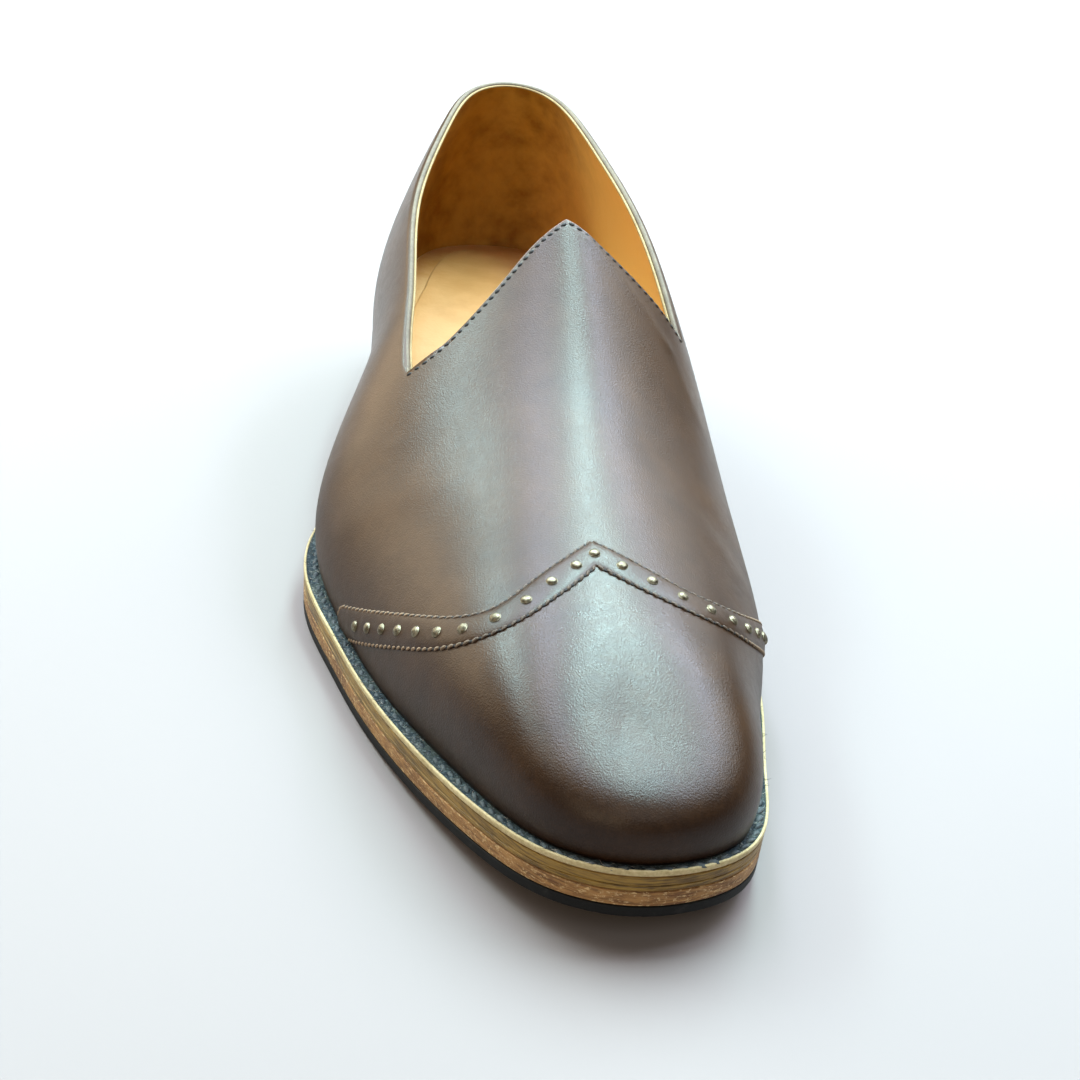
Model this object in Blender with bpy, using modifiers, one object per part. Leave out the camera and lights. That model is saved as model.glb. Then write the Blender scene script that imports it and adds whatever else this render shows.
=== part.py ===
"""Slip-on dress shoe for the right foot, with a studded wing-tip band.

Frame: +Z up, toe towards -Y, medial side towards +X, standing on z = 0.
The tables are in millimetres, measured along the last from the heel.
Each layer and each stud is a piece of its own, a small gap from its carrier.
"""
import bmesh
import bpy
import numpy as np
from mathutils import Vector

MM = 0.001
LATERAL, MEDIAL = -1, 1

# ---- driving sizes, mm ----
LAST_LENGTH = 292.0       # feather line, heel to toe
SOLE_TOTAL = 10.4         # tread to feather line under the ball
HEEL_SEAT = 29.5          # feather line over the floor at the heel
TOE_SPRING = 7.2          # extra lift of the feather line at the toe
SEAT_FRONT = 38.0         # where the shank starts to fall
BALL_BACK = 180.0         # where the flat tread starts
BALL_FRONT = 212.0        # where the toe starts to lift
CENTRE_X = -4.04          # middle of the whole shoe in the last's frame
CENTRE_S = 145.7
GAP = 0.25                # between one piece and the next
WALL = 2.4                # upper with its lining
WELT_THICK = 1.25
MIDSOLE_THICK = 3.0
OUTSOLE_THICK = 3.2
HALF_SOLE_THICK = 2.2
TOP_PIECE_THICK = 6.0
INSOLE_THICK = 3.5
INSOLE_INSET = 3.0
WELT_INNER = 7.0          # how far the welt runs in under the upper
MIDSOLE_INSET = 0.1       # edge of each layer, in from the welt's edge
OUTSOLE_INSET = 0.2
HALF_SOLE_INSET = 0.3
HEEL_INSET = 0.5
TOP_PIECE_INSET = 1.8
OUTSOLE_TAPER = 0.1       # how far each layer's foot is in from its top
HALF_SOLE_TAPER = 0.1
HEEL_TAPER = 1.2
TOP_PIECE_TAPER = 0.5
BREAST = 64.0             # front of the heel
BREAST_HOLLOW = 4.0       # how far its middle is cut back
HALF_SOLE_BACK = 132.0    # back edge of the rubber
HALF_SOLE_BOW = 3.0       # how far that edge bows backwards
BACK_HEIGHT = 59.5        # top line over the feather line at the heel
TOP_LINE_DIP = 1.36       # how hollow the top line runs to the notch
TOP_LINE_FULL = {LATERAL: 0.0, MEDIAL: 1.3}    # fuller again towards the notch
PEAK = 131.0              # foot station of the tongue's point
NOTCH = {LATERAL: 158.0, MEDIAL: 139.5}
NOTCH_HEIGHT = {LATERAL: 41.2, MEDIAL: 42.4}
NOTCH_MIDDLE = (NOTCH[LATERAL] + NOTCH[MEDIAL]) / 2
BAND_HALF = 4.3           # half the width of the band
BAND_THICK = 0.6
BAND_END = 2.5            # bare end of the band under its last stud
BAND_STEPS = 16           # pieces of the band's cutter, each side
CUT_DEPTH = (-2.0, 4.0)   # the cutter's faces, from the last
STUD_RADIUS = 1.2
STUD_HEIGHT = 0.8
STUD_FIRST = {LATERAL: 5.6, MEDIAL: 6.2}    # from the stud at the apex to the next
STUD_STEP = {LATERAL: 7.05, MEDIAL: 6.7}     # between the others
MERGE = 0.00002           # vertices this close are one, m

# Feather line of the last.
OUTLINE = [
    # station, lateral, medial
    (9, -20.2, 19.9),
    (42, -30.6, 30.3),
    (85, -35.0, 31.1),
    (125, -36.6, 28.8),
    (165, -49.8, 35.5),
    (200, -45.6, 41.6),
    (225, -38.3, 40.8),
    (252, -27.1, 35.1),
    (275, -16.2, 30.5),
    (287, -7.0, 22.0),
]
TOE_X = 6.0

# How far the welt stands out past the feather line.
WELT_REACH = [
    # station, reach past the feather line
    (0, 2.5),
    (25, 2.0),
    (110, 2.0),
    (160, 3.9),
    (200, 3.1),
    (225, 2.9),
    (252, 3.4),
    (270, 2.9),
    (290, 1.9),
]

# Ridge of the last over the feather line.
RIDGE = [
    # station, height
    (30, 78.3),
    (60, 82.3),
    (100, 80.2),
    (128, 71.4),
    (150, 61.5),
    (175, 50.6),
    (200, 42.5),
    (225, 36.4),
    (240, 32.9),
    (255, 28.5),
    (270, 21.3),
]
RIDGE_SWAY = [
    # station, towards the medial side
    (30, 0.0),
    (90, 0.0),
    (140, 4.2),
    (205, 2.3),
    (240, 2.7),
    (270, 4.6),
]
# Where the rib of a foot station meets the ridge.
RIB_REACH = [
    # foot station, ridge station
    (0, 30),
    (45, 55),
    (120, 122),
    (200, 197),
    (255, 243),
    (290, 270),
]
RIBS = [
    # station, rise of the wall, flatness of the top, lateral belly, medial belly
    (0, 0.34, 0.27, 8.0, 8.0),
    (30, 0.34, 0.27, 8.2, 7.0),
    (60, 0.34, 0.27, 12.0, 11.6),
    (140, 0.49, 0.46, 17.0, 30.2),
    (205, 0.42, 0.48, 3.6, 12.6),
    (255, 0.68, 0.65, 5.6, 4.4),
    (290, 0.74, 0.67, 4.0, 4.0),
]
# Edge of the tongue between its point and the notch.
TONGUE = {
    LATERAL: [
        # part of the way from the point to the notch, foot station, height up the rib
        (0.0, 131.0, 1.0),
        (0.16, 133.4, 0.940),
        (0.34, 137.9, 0.862),
        (0.52, 144.4, 0.787),
        (0.70, 151.0, 0.710),
        (0.86, 156.4, 0.622),
    ],
    MEDIAL: [
        (0.0, 131.0, 1.0),
        (0.16, 132.8, 0.920),
        (0.34, 135.4, 0.825),
        (0.52, 137.8, 0.710),
        (0.70, 138.8, 0.610),
        (0.86, 139.3, 0.540),
    ],
}
# Middle of the wing-tip band, from the apex down to the welt.
WING = {
    LATERAL: [
        # foot station, height up the rib
        (237.3, 1.0),
        (241.5, 0.933),
        (245.2, 0.837),
        (247.9, 0.741),
        (248.6, 0.628),
        (245.8, 0.505),
        (239.5, 0.393),
        (231.3, 0.303),
        (221.8, 0.213),
        (210.9, 0.115),
        (204.6, 0.060),
    ],
    MEDIAL: [
        (237.3, 1.0),
        (240.2, 0.925),
        (242.4, 0.828),
        (243.2, 0.724),
        (241.4, 0.603),
        (235.8, 0.450),
        (226.8, 0.310),
        (215.0, 0.165),
        (208.5, 0.060),
    ],
}

# ---- mesh fineness ----
WALL_COLUMNS = 17         # heel to notch, each side
TONGUE_COLUMNS = 8        # tongue point to notch, each side
VAMP_COLUMNS = 22         # notch to toe, each side
WALL_ROWS = 8
VAMP_ROWS = 7
SOLE_COLUMNS = 42         # heel to toe, each side


def spline(xs, ys):
    """Natural cubic spline through a table; returns a function."""
    xs = np.asarray(xs, float)
    ys = np.asarray(ys, float)
    n = len(xs)
    h = np.diff(xs)
    a = np.eye(n)
    b = np.zeros_like(ys)
    for i in range(1, n - 1):
        a[i, i - 1] = h[i - 1]
        a[i, i] = 2 * (h[i - 1] + h[i])
        a[i, i + 1] = h[i]
        b[i] = 6 * ((ys[i + 1] - ys[i]) / h[i] - (ys[i] - ys[i - 1]) / h[i - 1])
    m = np.linalg.solve(a, b)

    def at(x):
        x = np.clip(np.asarray(x, float), xs[0], xs[-1])
        i = np.clip(np.searchsorted(xs, x, side='right') - 1, 0, n - 2)
        d = x - xs[i]
        e = xs[i + 1] - x
        w = h[i]
        if ys.ndim > 1:
            d, e, w = d[..., None], e[..., None], w[..., None]
        curve = (m[i] * e ** 3 + m[i + 1] * d ** 3) / (6 * w)
        return curve + (ys[i] / w - m[i] * w / 6) * e + (ys[i + 1] / w - m[i + 1] * w / 6) * d

    return at


def column(table, k):
    return [row[k] for row in table]


def ease(t):
    t = np.clip(t, 0, 1)
    return t * t * (3 - 2 * t)


def closed_outline():
    """Feather line as one smooth loop, split at heel and toe into a table for each side."""
    pts = [(0.0, 0.0)] + [(lat, s) for s, lat, med in OUTLINE] + [(TOE_X, LAST_LENGTH)]
    pts += [(med, s) for s, lat, med in reversed(OUTLINE)]
    loop = np.array(pts * 3 + pts[:1], float)
    step = np.sqrt(np.linalg.norm(np.diff(loop, axis=0), axis=1))
    knot = np.concatenate([[0.0], np.cumsum(step)])
    n = len(pts)
    dense = spline(knot, loop)(np.linspace(knot[n], knot[2 * n], 4001))[:-1]
    dense = np.roll(dense, -int(np.argmin(dense[:, 1])), axis=0)
    toe = int(np.argmax(dense[:, 1]))
    tangent = np.roll(dense, -1, axis=0) - np.roll(dense, 1, axis=0)
    tangent /= np.linalg.norm(tangent, axis=1)[:, None]
    both = np.c_[dense, -tangent[:, 1], tangent[:, 0]]
    return {LATERAL: both[:toe + 1], MEDIAL: np.concatenate([both[toe:], both[:1]])[::-1]}


SIDES = closed_outline()
HEEL_S = SIDES[LATERAL][0, 1]
TOE_S = SIDES[LATERAL][-1, 1]
ridge_height = spline(column(RIDGE, 0), column(RIDGE, 1))
ridge_sway = spline(column(RIDGE_SWAY, 0), column(RIDGE_SWAY, 1))
rib_reach = spline(column(RIB_REACH, 0), column(RIB_REACH, 1))
rib_form = spline(column(RIBS, 0), [row[1:] for row in RIBS])


def feather_z(s):
    """Height of the feather line over the floor: heel seat, shank, flat tread, toe spring."""
    s = np.asarray(s, float)
    back = ease((BALL_BACK - s) / (BALL_BACK - SEAT_FRONT))
    spring = np.clip((s - BALL_FRONT) / (LAST_LENGTH - BALL_FRONT), 0, 1.3) ** 1.8
    return SOLE_TOTAL + (HEEL_SEAT - SOLE_TOTAL) * back + TOE_SPRING * spring


def foot(side, s):
    """Feather line at a station: sideways, station, and its outward normal."""
    tab = SIDES[side]
    return np.stack([np.interp(s, tab[:, 1], tab[:, k]) for k in range(4)], axis=-1)


def ridge(s):
    return np.stack([ridge_sway(s), s, feather_z(s) + ridge_height(s)], axis=-1)


def last_point(side, s, v):
    """Point of the last at a foot station and a height up its rib (0 feather, 1 ridge)."""
    s, v = np.broadcast_arrays(np.asarray(s, float), np.asarray(v, float))
    f = foot(side, s)
    p0 = np.stack([f[..., 0], f[..., 1], feather_z(f[..., 1])], axis=-1)
    reach = rib_reach(s)
    p3 = ridge(reach)
    middle = np.clip(reach, RIDGE[0][0] + 0.5, RIDGE[-1][0] - 0.5)
    along = ridge(middle + 0.5) - ridge(middle - 0.5)
    run = p3[..., :2] - p0[..., :2]
    fall = (run * along[..., :2]).sum(-1) * along[..., 2] / (along[..., :2] ** 2).sum(-1)
    form = rib_form(s)
    belly = form[..., 2] if side == LATERAL else form[..., 3]
    p1 = p0.copy()
    p1[..., :2] += f[..., 2:] * belly[..., None]
    p1[..., 2] += form[..., 0] * (p3[..., 2] - p0[..., 2])
    p2 = p3.copy()
    p2[..., :2] -= run * form[..., 1:2]
    p2[..., 2] -= fall * form[..., 1]
    w = v[..., None]
    bend = (1 - w) ** 3 * p0 + 3 * (1 - w) ** 2 * w * p1 + 3 * (1 - w) * w ** 2 * p2 + w ** 3 * p3
    return bend + np.array([0.0, 0.0, GAP])


def last_normal(side, s, v):
    """Outward normal of the last."""
    s, v = np.broadcast_arrays(np.asarray(s, float), np.asarray(v, float))
    v = np.where(s > TOE_S - 2, np.minimum(v, 0.98), v)
    s0 = np.clip(s - 0.4, HEEL_S, TOE_S)
    s1 = np.clip(s + 0.4, HEEL_S, TOE_S)
    v0 = np.clip(v - 0.01, 0, 1)
    v1 = np.clip(v + 0.01, 0, 1)
    along = last_point(side, s1, v) - last_point(side, s0, v)
    up = last_point(side, s, v1) - last_point(side, s, v0)
    n = np.cross(along, up) * side
    return n / np.linalg.norm(n, axis=-1)[..., None]


def lifted(side, s, v, lift):
    """Point of the last moved out along its normal."""
    return last_point(side, s, v) + last_normal(side, s, v) * lift


def world(p):
    """From the last's frame in mm (sideways, station, up) to the shoe's frame in metres."""
    p = np.asarray(p, float)
    return np.stack([p[..., 0] - CENTRE_X, CENTRE_S - p[..., 1], p[..., 2]], axis=-1) * MM


def wall_top(side, s):
    """How far up its rib the wall of the quarter goes at a foot station."""
    back = feather_z(HEEL_S) + BACK_HEIGHT
    notch = feather_z(NOTCH[side]) + NOTCH_HEIGHT[side]
    v = np.linspace(0.25, 0.95, 400)
    out = []
    for one in np.atleast_1d(s):
        p = last_point(side, np.full_like(v, one), v)
        t = np.clip((p[:, 1] + 6.0) / (NOTCH[side] + 6.0), 0, 1)
        over = p[:, 2] - (back + (notch - back) * t ** (TOP_LINE_DIP + TOP_LINE_FULL[side] * t * t))
        k = int(np.argmax(over > 0))
        out.append(v[k - 1] + (v[k] - v[k - 1]) * over[k - 1] / (over[k - 1] - over[k]))
    return np.array(out)


# ---- upper ----
def even_stations(first, last, count):
    """Stations between two ends, spaced evenly along the feather line."""
    s = np.linspace(first, last, 1500)
    run = sum(np.linalg.norm(np.diff(foot(side, s)[:, :2], axis=0), axis=1) for side in (LATERAL, MEDIAL))
    run = np.concatenate([[0.0], np.cumsum(run)])
    return np.interp(np.linspace(0, run[-1], count + 1), run, s)


def wall_columns(side):
    """Foot station and height of the wall's top edge, heel to toe."""
    back = even_stations(HEEL_S, NOTCH_MIDDLE, WALL_COLUMNS)
    front = even_stations(NOTCH_MIDDLE, TOE_S, VAMP_COLUMNS)
    back = HEEL_S + (back - HEEL_S) * (NOTCH[side] - HEEL_S) / (NOTCH_MIDDLE - HEEL_S)
    front = TOE_S - (TOE_S - front) * (TOE_S - NOTCH[side]) / (TOE_S - NOTCH_MIDDLE)
    top = wall_top(side, back)
    t = np.linspace(0, 1, VAMP_COLUMNS + 1)
    shared = top[-1] + (0.5 - top[-1]) * ease(t)
    return np.concatenate([back, front[1:]]), np.concatenate([top, shared[1:]])


def wall_sheet(side, lift):
    s, top = wall_columns(side)
    rows = np.linspace(0, 1, WALL_ROWS + 1)
    v = top[:, None] * rows[None, :]
    return lifted(side, np.broadcast_to(s[:, None], v.shape), v, lift)


def vamp_sheet(side, lift):
    """Tongue and vamp from the wall's top edge up to the ridge, tongue point to toe."""
    s, top = wall_columns(side)
    s = s[WALL_COLUMNS:]
    top = top[WALL_COLUMNS:]
    edge = TONGUE[side] + [(1.0, s[0], top[0])]
    t = np.linspace(0, 1, TONGUE_COLUMNS + 1)[:-1]
    at = spline(column(edge, 0), [row[1:] for row in edge])(t)
    s_edge = np.concatenate([at[:, 0], s])
    v_edge = np.concatenate([at[:, 1], top])
    s_tongue = PEAK + (NOTCH_MIDDLE - PEAK) * t
    s_ridge = np.concatenate([s_tongue, even_stations(NOTCH_MIDDLE, TOE_S, VAMP_COLUMNS)])
    w = np.linspace(0, 1, VAMP_ROWS + 1)[None, :]
    ss = s_edge[:, None] + (s_ridge - s_edge)[:, None] * w
    vv = v_edge[:, None] + (1 - v_edge)[:, None] * w
    return lifted(side, ss, vv, lift)


def add_sheet(bm, points):
    """Grid laid over a table of points (columns, rows, 3)."""
    columns, rows = points.shape[0] - 1, points.shape[1] - 1
    made = bmesh.ops.create_grid(bm, x_segments=columns, y_segments=rows, size=1.0)
    for vert in made['verts']:
        i = round((vert.co.x + 1) / 2 * columns)
        j = round((vert.co.y + 1) / 2 * rows)
        vert.co = Vector(points[i, j])
    return made['verts']


def upper_surface(lift, forepart=False):
    """Outer face of the upper as one open sheet, slit at the two notches."""
    bm = bmesh.new()
    for sheet, skip in ((wall_sheet, WALL_COLUMNS), (vamp_sheet, TONGUE_COLUMNS)):
        lateral = world(sheet(LATERAL, lift))
        medial = world(sheet(MEDIAL, lift))
        lateral[-1] = medial[-1] = (lateral[-1] + medial[-1]) / 2
        if sheet is wall_sheet:
            lateral[0] = medial[0] = (lateral[0] + medial[0]) / 2
        else:
            crest = (lateral[:, -1] + medial[:, -1]) / 2
            lateral[:, -1] = medial[:, -1] = crest
            lateral[0] = medial[0] = crest[0]
        if forepart:
            lateral = lateral[skip:]
            medial = medial[skip:]
        add_sheet(bm, np.concatenate([lateral, medial[-2::-1]]))
    bmesh.ops.remove_doubles(bm, verts=bm.verts, dist=MERGE)
    return bm


# ---- soles ----
def edge_point(side, s, reach):
    """Point of a layer's edge: the feather line moved outwards."""
    f = foot(side, s)
    return f[..., :2] + f[..., 2:] * np.asarray(reach)[..., None]


reach_of_welt = spline(column(WELT_REACH, 0), column(WELT_REACH, 1))


def ring_of(first, last, inset, bow_back=0.0, bow_front=0.0, count=SOLE_COLUMNS):
    """Closed loop round a layer, with the point on its spine that each edge point faces."""
    s = even_stations(first, last, count)
    reach = reach_of_welt(s) - inset
    lateral = edge_point(LATERAL, s, reach)
    medial = edge_point(MEDIAL, s, reach)
    middle = (lateral + medial) / 2
    span = last - first
    spine = middle.copy()
    spine[:, 1] = np.clip(middle[:, 1], first + 0.16 * span, last - 0.12 * span)
    spine[:, 0] = np.interp(spine[:, 1], middle[:, 1], middle[:, 0])
    loop = lateral
    hub = spine
    if last < TOE_S - 1:
        line = bowed(lateral[-1], medial[-1], -bow_front)
        loop = np.concatenate([loop, line, medial[::-1]])
        hub = np.concatenate([hub, np.repeat(spine[-1:], len(line), axis=0), spine[::-1]])
    else:
        loop = np.concatenate([loop, medial[-2::-1]])
        hub = np.concatenate([hub, spine[-2::-1]])
    if first > HEEL_S + 1:
        line = bowed(medial[0], lateral[0], -bow_back)
        loop = np.concatenate([loop, line, loop[:1]])
        hub = np.concatenate([hub, np.repeat(spine[:1], len(line) + 1, axis=0)])
    return loop, hub


def bowed(start, end, bow):
    """Points inside a shallow arc from one point to another."""
    u = np.linspace(0, 1, 7)[1:-1, None]
    line = start + (end - start) * u
    line[:, 1] += bow * 4 * (u * (1 - u))[:, 0]
    return line


def layer(name, loop, hub, top, bottom, taper=0.0):
    """Solid layer between two heights, which may change along the shoe."""
    bm = bmesh.new()
    flat = np.stack([loop, (loop + hub) / 2, hub], axis=1)
    upper = np.concatenate([flat, top(flat[..., 1])[..., None]], axis=-1)
    low = flat.copy()
    out = loop - hub
    out /= np.linalg.norm(out, axis=-1)[:, None]
    low[:, 0] -= out * taper
    lower = np.concatenate([low, bottom(low[..., 1])[..., None]], axis=-1)
    add_sheet(bm, world(upper))
    add_sheet(bm, world(lower))
    side = np.stack([upper[:, 0], lower[:, 0]], axis=1)
    add_sheet(bm, world(side))
    return close_up(name, bm)


def insole_ring():
    """Loop and spine of the insole, a step inside the upper's lining."""
    s = even_stations(HEEL_S, TOE_S, SOLE_COLUMNS)
    lateral = edge_point(LATERAL, s, np.full_like(s, -INSOLE_INSET))
    medial = edge_point(MEDIAL, s, np.full_like(s, -INSOLE_INSET))
    middle = (lateral + medial) / 2
    spine = middle.copy()
    spine[:, 1] = np.clip(middle[:, 1], 45, 255)
    spine[:, 0] = np.interp(spine[:, 1], middle[:, 1], middle[:, 0])
    return np.concatenate([lateral, medial[-2::-1]]), np.concatenate([spine, spine[-2::-1]])


def close_up(name, bm):
    bmesh.ops.remove_doubles(bm, verts=bm.verts, dist=MERGE)
    bmesh.ops.dissolve_degenerate(bm, edges=bm.edges, dist=0.00001)
    bmesh.ops.recalc_face_normals(bm, faces=bm.faces)
    return new_object(name, bm)


def welt_ring(name, inset, top, bottom):
    """Flat strip all round, from under the upper to the edge of the sole."""
    bm = bmesh.new()
    outer, hub = ring_of(HEEL_S, TOE_S, 0.0)
    s = even_stations(HEEL_S, TOE_S, SOLE_COLUMNS)
    lateral = edge_point(LATERAL, s, np.full_like(s, -inset))
    medial = edge_point(MEDIAL, s, np.full_like(s, -inset))
    inner = np.concatenate([lateral, medial[-2::-1]])
    corners = []
    for loop, height in ((outer, top), (inner, top), (inner, bottom), (outer, bottom), (outer, top)):
        corners.append(np.concatenate([loop, height(loop[:, 1])[:, None]], axis=-1))
    add_sheet(bm, world(np.stack(corners, axis=1)))
    return close_up(name, bm)


def new_object(name, bm, smooth=40):
    mesh = bpy.data.meshes.new(name)
    bm.to_mesh(mesh)
    bm.free()
    mesh.shade_smooth()
    mesh.set_sharp_from_angle(angle=np.radians(smooth))
    obj = bpy.data.objects.new(name, mesh)
    shoe.objects.link(obj)
    return obj


def below(depth):
    """Height of a face that lies a depth under the feather line."""
    return lambda s: feather_z(s) - depth


def level(z):
    return lambda s: np.full_like(s, z)


# ---- band and studs ----
def band_path(side, count):
    """Middle line of the band in (foot station, height up the rib), evenly spaced."""
    table = np.array(WING[side], float)
    knot = np.linspace(0, 1, len(table))
    at = spline(knot, table)
    t = np.linspace(0, 1, 400)
    p = at(t)
    pos = last_point(side, p[:, 0], p[:, 1])
    run = np.concatenate([[0.0], np.cumsum(np.linalg.norm(np.diff(pos, axis=0), axis=1))])
    lengths = np.linspace(0, run[-1], count + 1)
    return lengths, np.stack([np.interp(lengths, run, p[:, 0]), np.interp(lengths, run, p[:, 1])], axis=-1)


def band_cutter():
    """Thick strip that follows the band's middle line over the last."""
    frames = []
    for side in (LATERAL, MEDIAL):
        lengths, p = band_path(side, BAND_STEPS)
        pos = last_point(side, p[:, 0], p[:, 1])
        nor = last_normal(side, p[:, 0], p[:, 1])
        tan = np.gradient(pos, axis=0)
        across = np.cross(tan, nor)
        across /= np.linalg.norm(across, axis=1)[:, None]
        frames.append([pos, nor, across])
    left, right = frames
    right[2] = -right[2]
    nor = left[1][0] + right[1][0]
    nor /= np.linalg.norm(nor)
    mitre = left[2][0] + right[2][0]
    mitre /= np.linalg.norm(mitre)
    mitre /= mitre @ left[2][0]
    pos = np.concatenate([left[0][::-1], right[0][1:]])
    normals = np.concatenate([left[1][:0:-1], [nor], right[1][1:]])
    across = np.concatenate([left[2][:0:-1], [mitre], right[2][1:]])
    ring = []
    inner, outer = CUT_DEPTH
    for u, height in ((-1, inner), (1, inner), (1, outer), (-1, outer), (-1, inner)):
        ring.append(pos + across * BAND_HALF * u + normals * height)
    ring = np.stack(ring, axis=1)
    bm = bmesh.new()
    add_sheet(bm, world(ring))
    bmesh.ops.remove_doubles(bm, verts=bm.verts, dist=MERGE)
    bmesh.ops.holes_fill(bm, edges=[e for e in bm.edges if e.is_boundary], sides=0)
    bmesh.ops.recalc_face_normals(bm, faces=bm.faces)
    obj = new_object('band_outline', bm)
    shoe.objects.unlink(obj)
    cutters.objects.link(obj)
    obj.hide_render = True
    obj.display_type = 'WIRE'
    return obj


def stud_mesh():
    """Small dome with a flat foot."""
    bm = bmesh.new()
    bmesh.ops.create_uvsphere(bm, u_segments=12, v_segments=8, radius=STUD_RADIUS * MM)
    cut = bm.verts[:] + bm.edges[:] + bm.faces[:]
    bmesh.ops.bisect_plane(bm, geom=cut, plane_co=(0, 0, 0), plane_no=(0, 0, -1), clear_outer=True)
    bmesh.ops.holes_fill(bm, edges=[e for e in bm.edges if e.is_boundary], sides=0)
    bmesh.ops.scale(bm, vec=(1, 1, STUD_HEIGHT / STUD_RADIUS), verts=bm.verts)
    bmesh.ops.recalc_face_normals(bm, faces=bm.faces)
    mesh = bpy.data.meshes.new('stud')
    bm.to_mesh(mesh)
    bm.free()
    mesh.shade_smooth()
    mesh.set_sharp_from_angle(angle=np.radians(40))
    return mesh


def stud_places():
    """Foot stations and heights of the studs: one at the apex, the rest down both sides."""
    places = [(LATERAL, WING[LATERAL][0][0], 1.0)]
    for side in (LATERAL, MEDIAL):
        lengths, p = band_path(side, 300)
        along = STUD_FIRST[side]
        while along < lengths[-1] - BAND_END:
            s = float(np.interp(along, lengths, p[:, 0]))
            v = float(np.interp(along, lengths, p[:, 1]))
            places.append((side, s, v))
            along += STUD_STEP[side]
    return places


# ---- materials ----
def material(name, colour, roughness, metallic=0.0):
    mat = bpy.data.materials.new(name)
    mat.use_nodes = True
    shader = mat.node_tree.nodes['Principled BSDF']
    shader.inputs['Base Color'].default_value = (*colour, 1.0)
    shader.inputs['Roughness'].default_value = roughness
    shader.inputs['Metallic'].default_value = metallic
    mat.diffuse_color = (*colour, 1.0)
    return mat


def wear(obj, mat):
    obj.data.materials.append(mat)


# ---- build ----
for old in list(bpy.data.objects):
    bpy.data.objects.remove(old, do_unlink=True)
shoe = bpy.data.collections.new('slip_on_shoe')
cutters = bpy.data.collections.new('cutters')
bpy.context.scene.collection.children.link(shoe)
bpy.context.scene.collection.children.link(cutters)

upper_leather = material('upper_leather', (0.047, 0.031, 0.023), 0.38)
band_leather = material('band_leather', (0.043, 0.028, 0.020), 0.42)
stud_metal = material('stud_metal', (0.42, 0.40, 0.33), 0.32, 1.0)
insole_leather = material('insole_leather', (0.72, 0.45, 0.18), 0.6)
welt_leather = material('welt_leather', (0.09, 0.08, 0.07), 0.8)
midsole_leather = material('midsole_leather', (0.13, 0.075, 0.022), 0.6)
outsole_leather = material('outsole_leather', (0.15, 0.07, 0.03), 0.7)
heel_leather = material('heel_leather', (0.13, 0.07, 0.03), 0.55)
black_rubber = material('black_rubber', (0.012, 0.013, 0.010), 0.6)

upper = new_object('upper', upper_surface(0.0), smooth=60)
wall = upper.modifiers.new('Wall', 'SOLIDIFY')
wall.thickness = WALL * MM
wall.offset = -1.0
wall.use_even_offset = True
wear(upper, upper_leather)

band = new_object('wing_band', upper_surface(GAP, forepart=True), smooth=60)
skin = band.modifiers.new('Skin', 'SOLIDIFY')
skin.thickness = BAND_THICK * MM
skin.offset = 1.0
skin.use_even_offset = True
trim = band.modifiers.new('Trim', 'BOOLEAN')
trim.operation = 'INTERSECT'
trim.solver = 'EXACT'
trim.object = band_cutter()
wear(band, band_leather)

dome = stud_mesh()
dome.materials.append(stud_metal)
for number, (side, s, v) in enumerate(stud_places(), start=1):
    stud = bpy.data.objects.new(f'stud_{number:02d}', dome)
    shoe.objects.link(stud)
    normal = last_normal(side, s, v) * np.array([1, -1, 1])
    stud.location = Vector(world(lifted(side, s, v, 2 * GAP + BAND_THICK)))
    stud.rotation_mode = 'QUATERNION'
    stud.rotation_quaternion = Vector(normal).to_track_quat('Z', 'Y')

depth = WELT_THICK
wear(welt_ring('welt', WELT_INNER, below(0.0), below(depth)), welt_leather)

depth += GAP
loop, hub = ring_of(HEEL_S, TOE_S, MIDSOLE_INSET)
wear(layer('midsole', loop, hub, below(depth), below(depth + MIDSOLE_THICK)), midsole_leather)

depth += MIDSOLE_THICK + GAP
loop, hub = ring_of(HEEL_S, TOE_S, OUTSOLE_INSET)
foot_of_outsole = below(depth + OUTSOLE_THICK)
wear(layer('outsole', loop, hub, below(depth), foot_of_outsole, OUTSOLE_TAPER), outsole_leather)

depth += OUTSOLE_THICK + GAP
loop, hub = ring_of(HALF_SOLE_BACK, TOE_S, HALF_SOLE_INSET, bow_back=HALF_SOLE_BOW, count=24)
wear(layer('half_sole', loop, hub, below(depth), below(SOLE_TOTAL), HALF_SOLE_TAPER), black_rubber)

loop, hub = ring_of(HEEL_S, BREAST, HEEL_INSET, bow_front=BREAST_HOLLOW, count=14)
foot_of_heel = level(TOP_PIECE_THICK + GAP)
wear(layer('heel_block', loop, hub, below(depth), foot_of_heel, HEEL_TAPER), heel_leather)

loop, hub = ring_of(HEEL_S, BREAST - 1.0, TOP_PIECE_INSET, bow_front=BREAST_HOLLOW, count=14)
top_piece = layer('heel_top_piece', loop, hub, level(TOP_PIECE_THICK), level(0.0), TOP_PIECE_TAPER)
wear(top_piece, black_rubber)

loop, hub = insole_ring()
wear(layer('insole', loop, hub, below(-GAP - INSOLE_THICK), below(-GAP)), insole_leather)
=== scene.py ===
"""Looks of a slip-on dress shoe for the right foot: dark calf upper with a peaked tongue and a
studded wing-tip band, tan lining, cloth-topped welt with a natural edge, and a layered leather sole.

Lengths in the tables are millimetres, measured along the last from the heel, as in the solids.
"""

import math
import random

import bmesh
import bpy
import numpy as np
from mathutils import Matrix, Vector, noise

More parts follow.
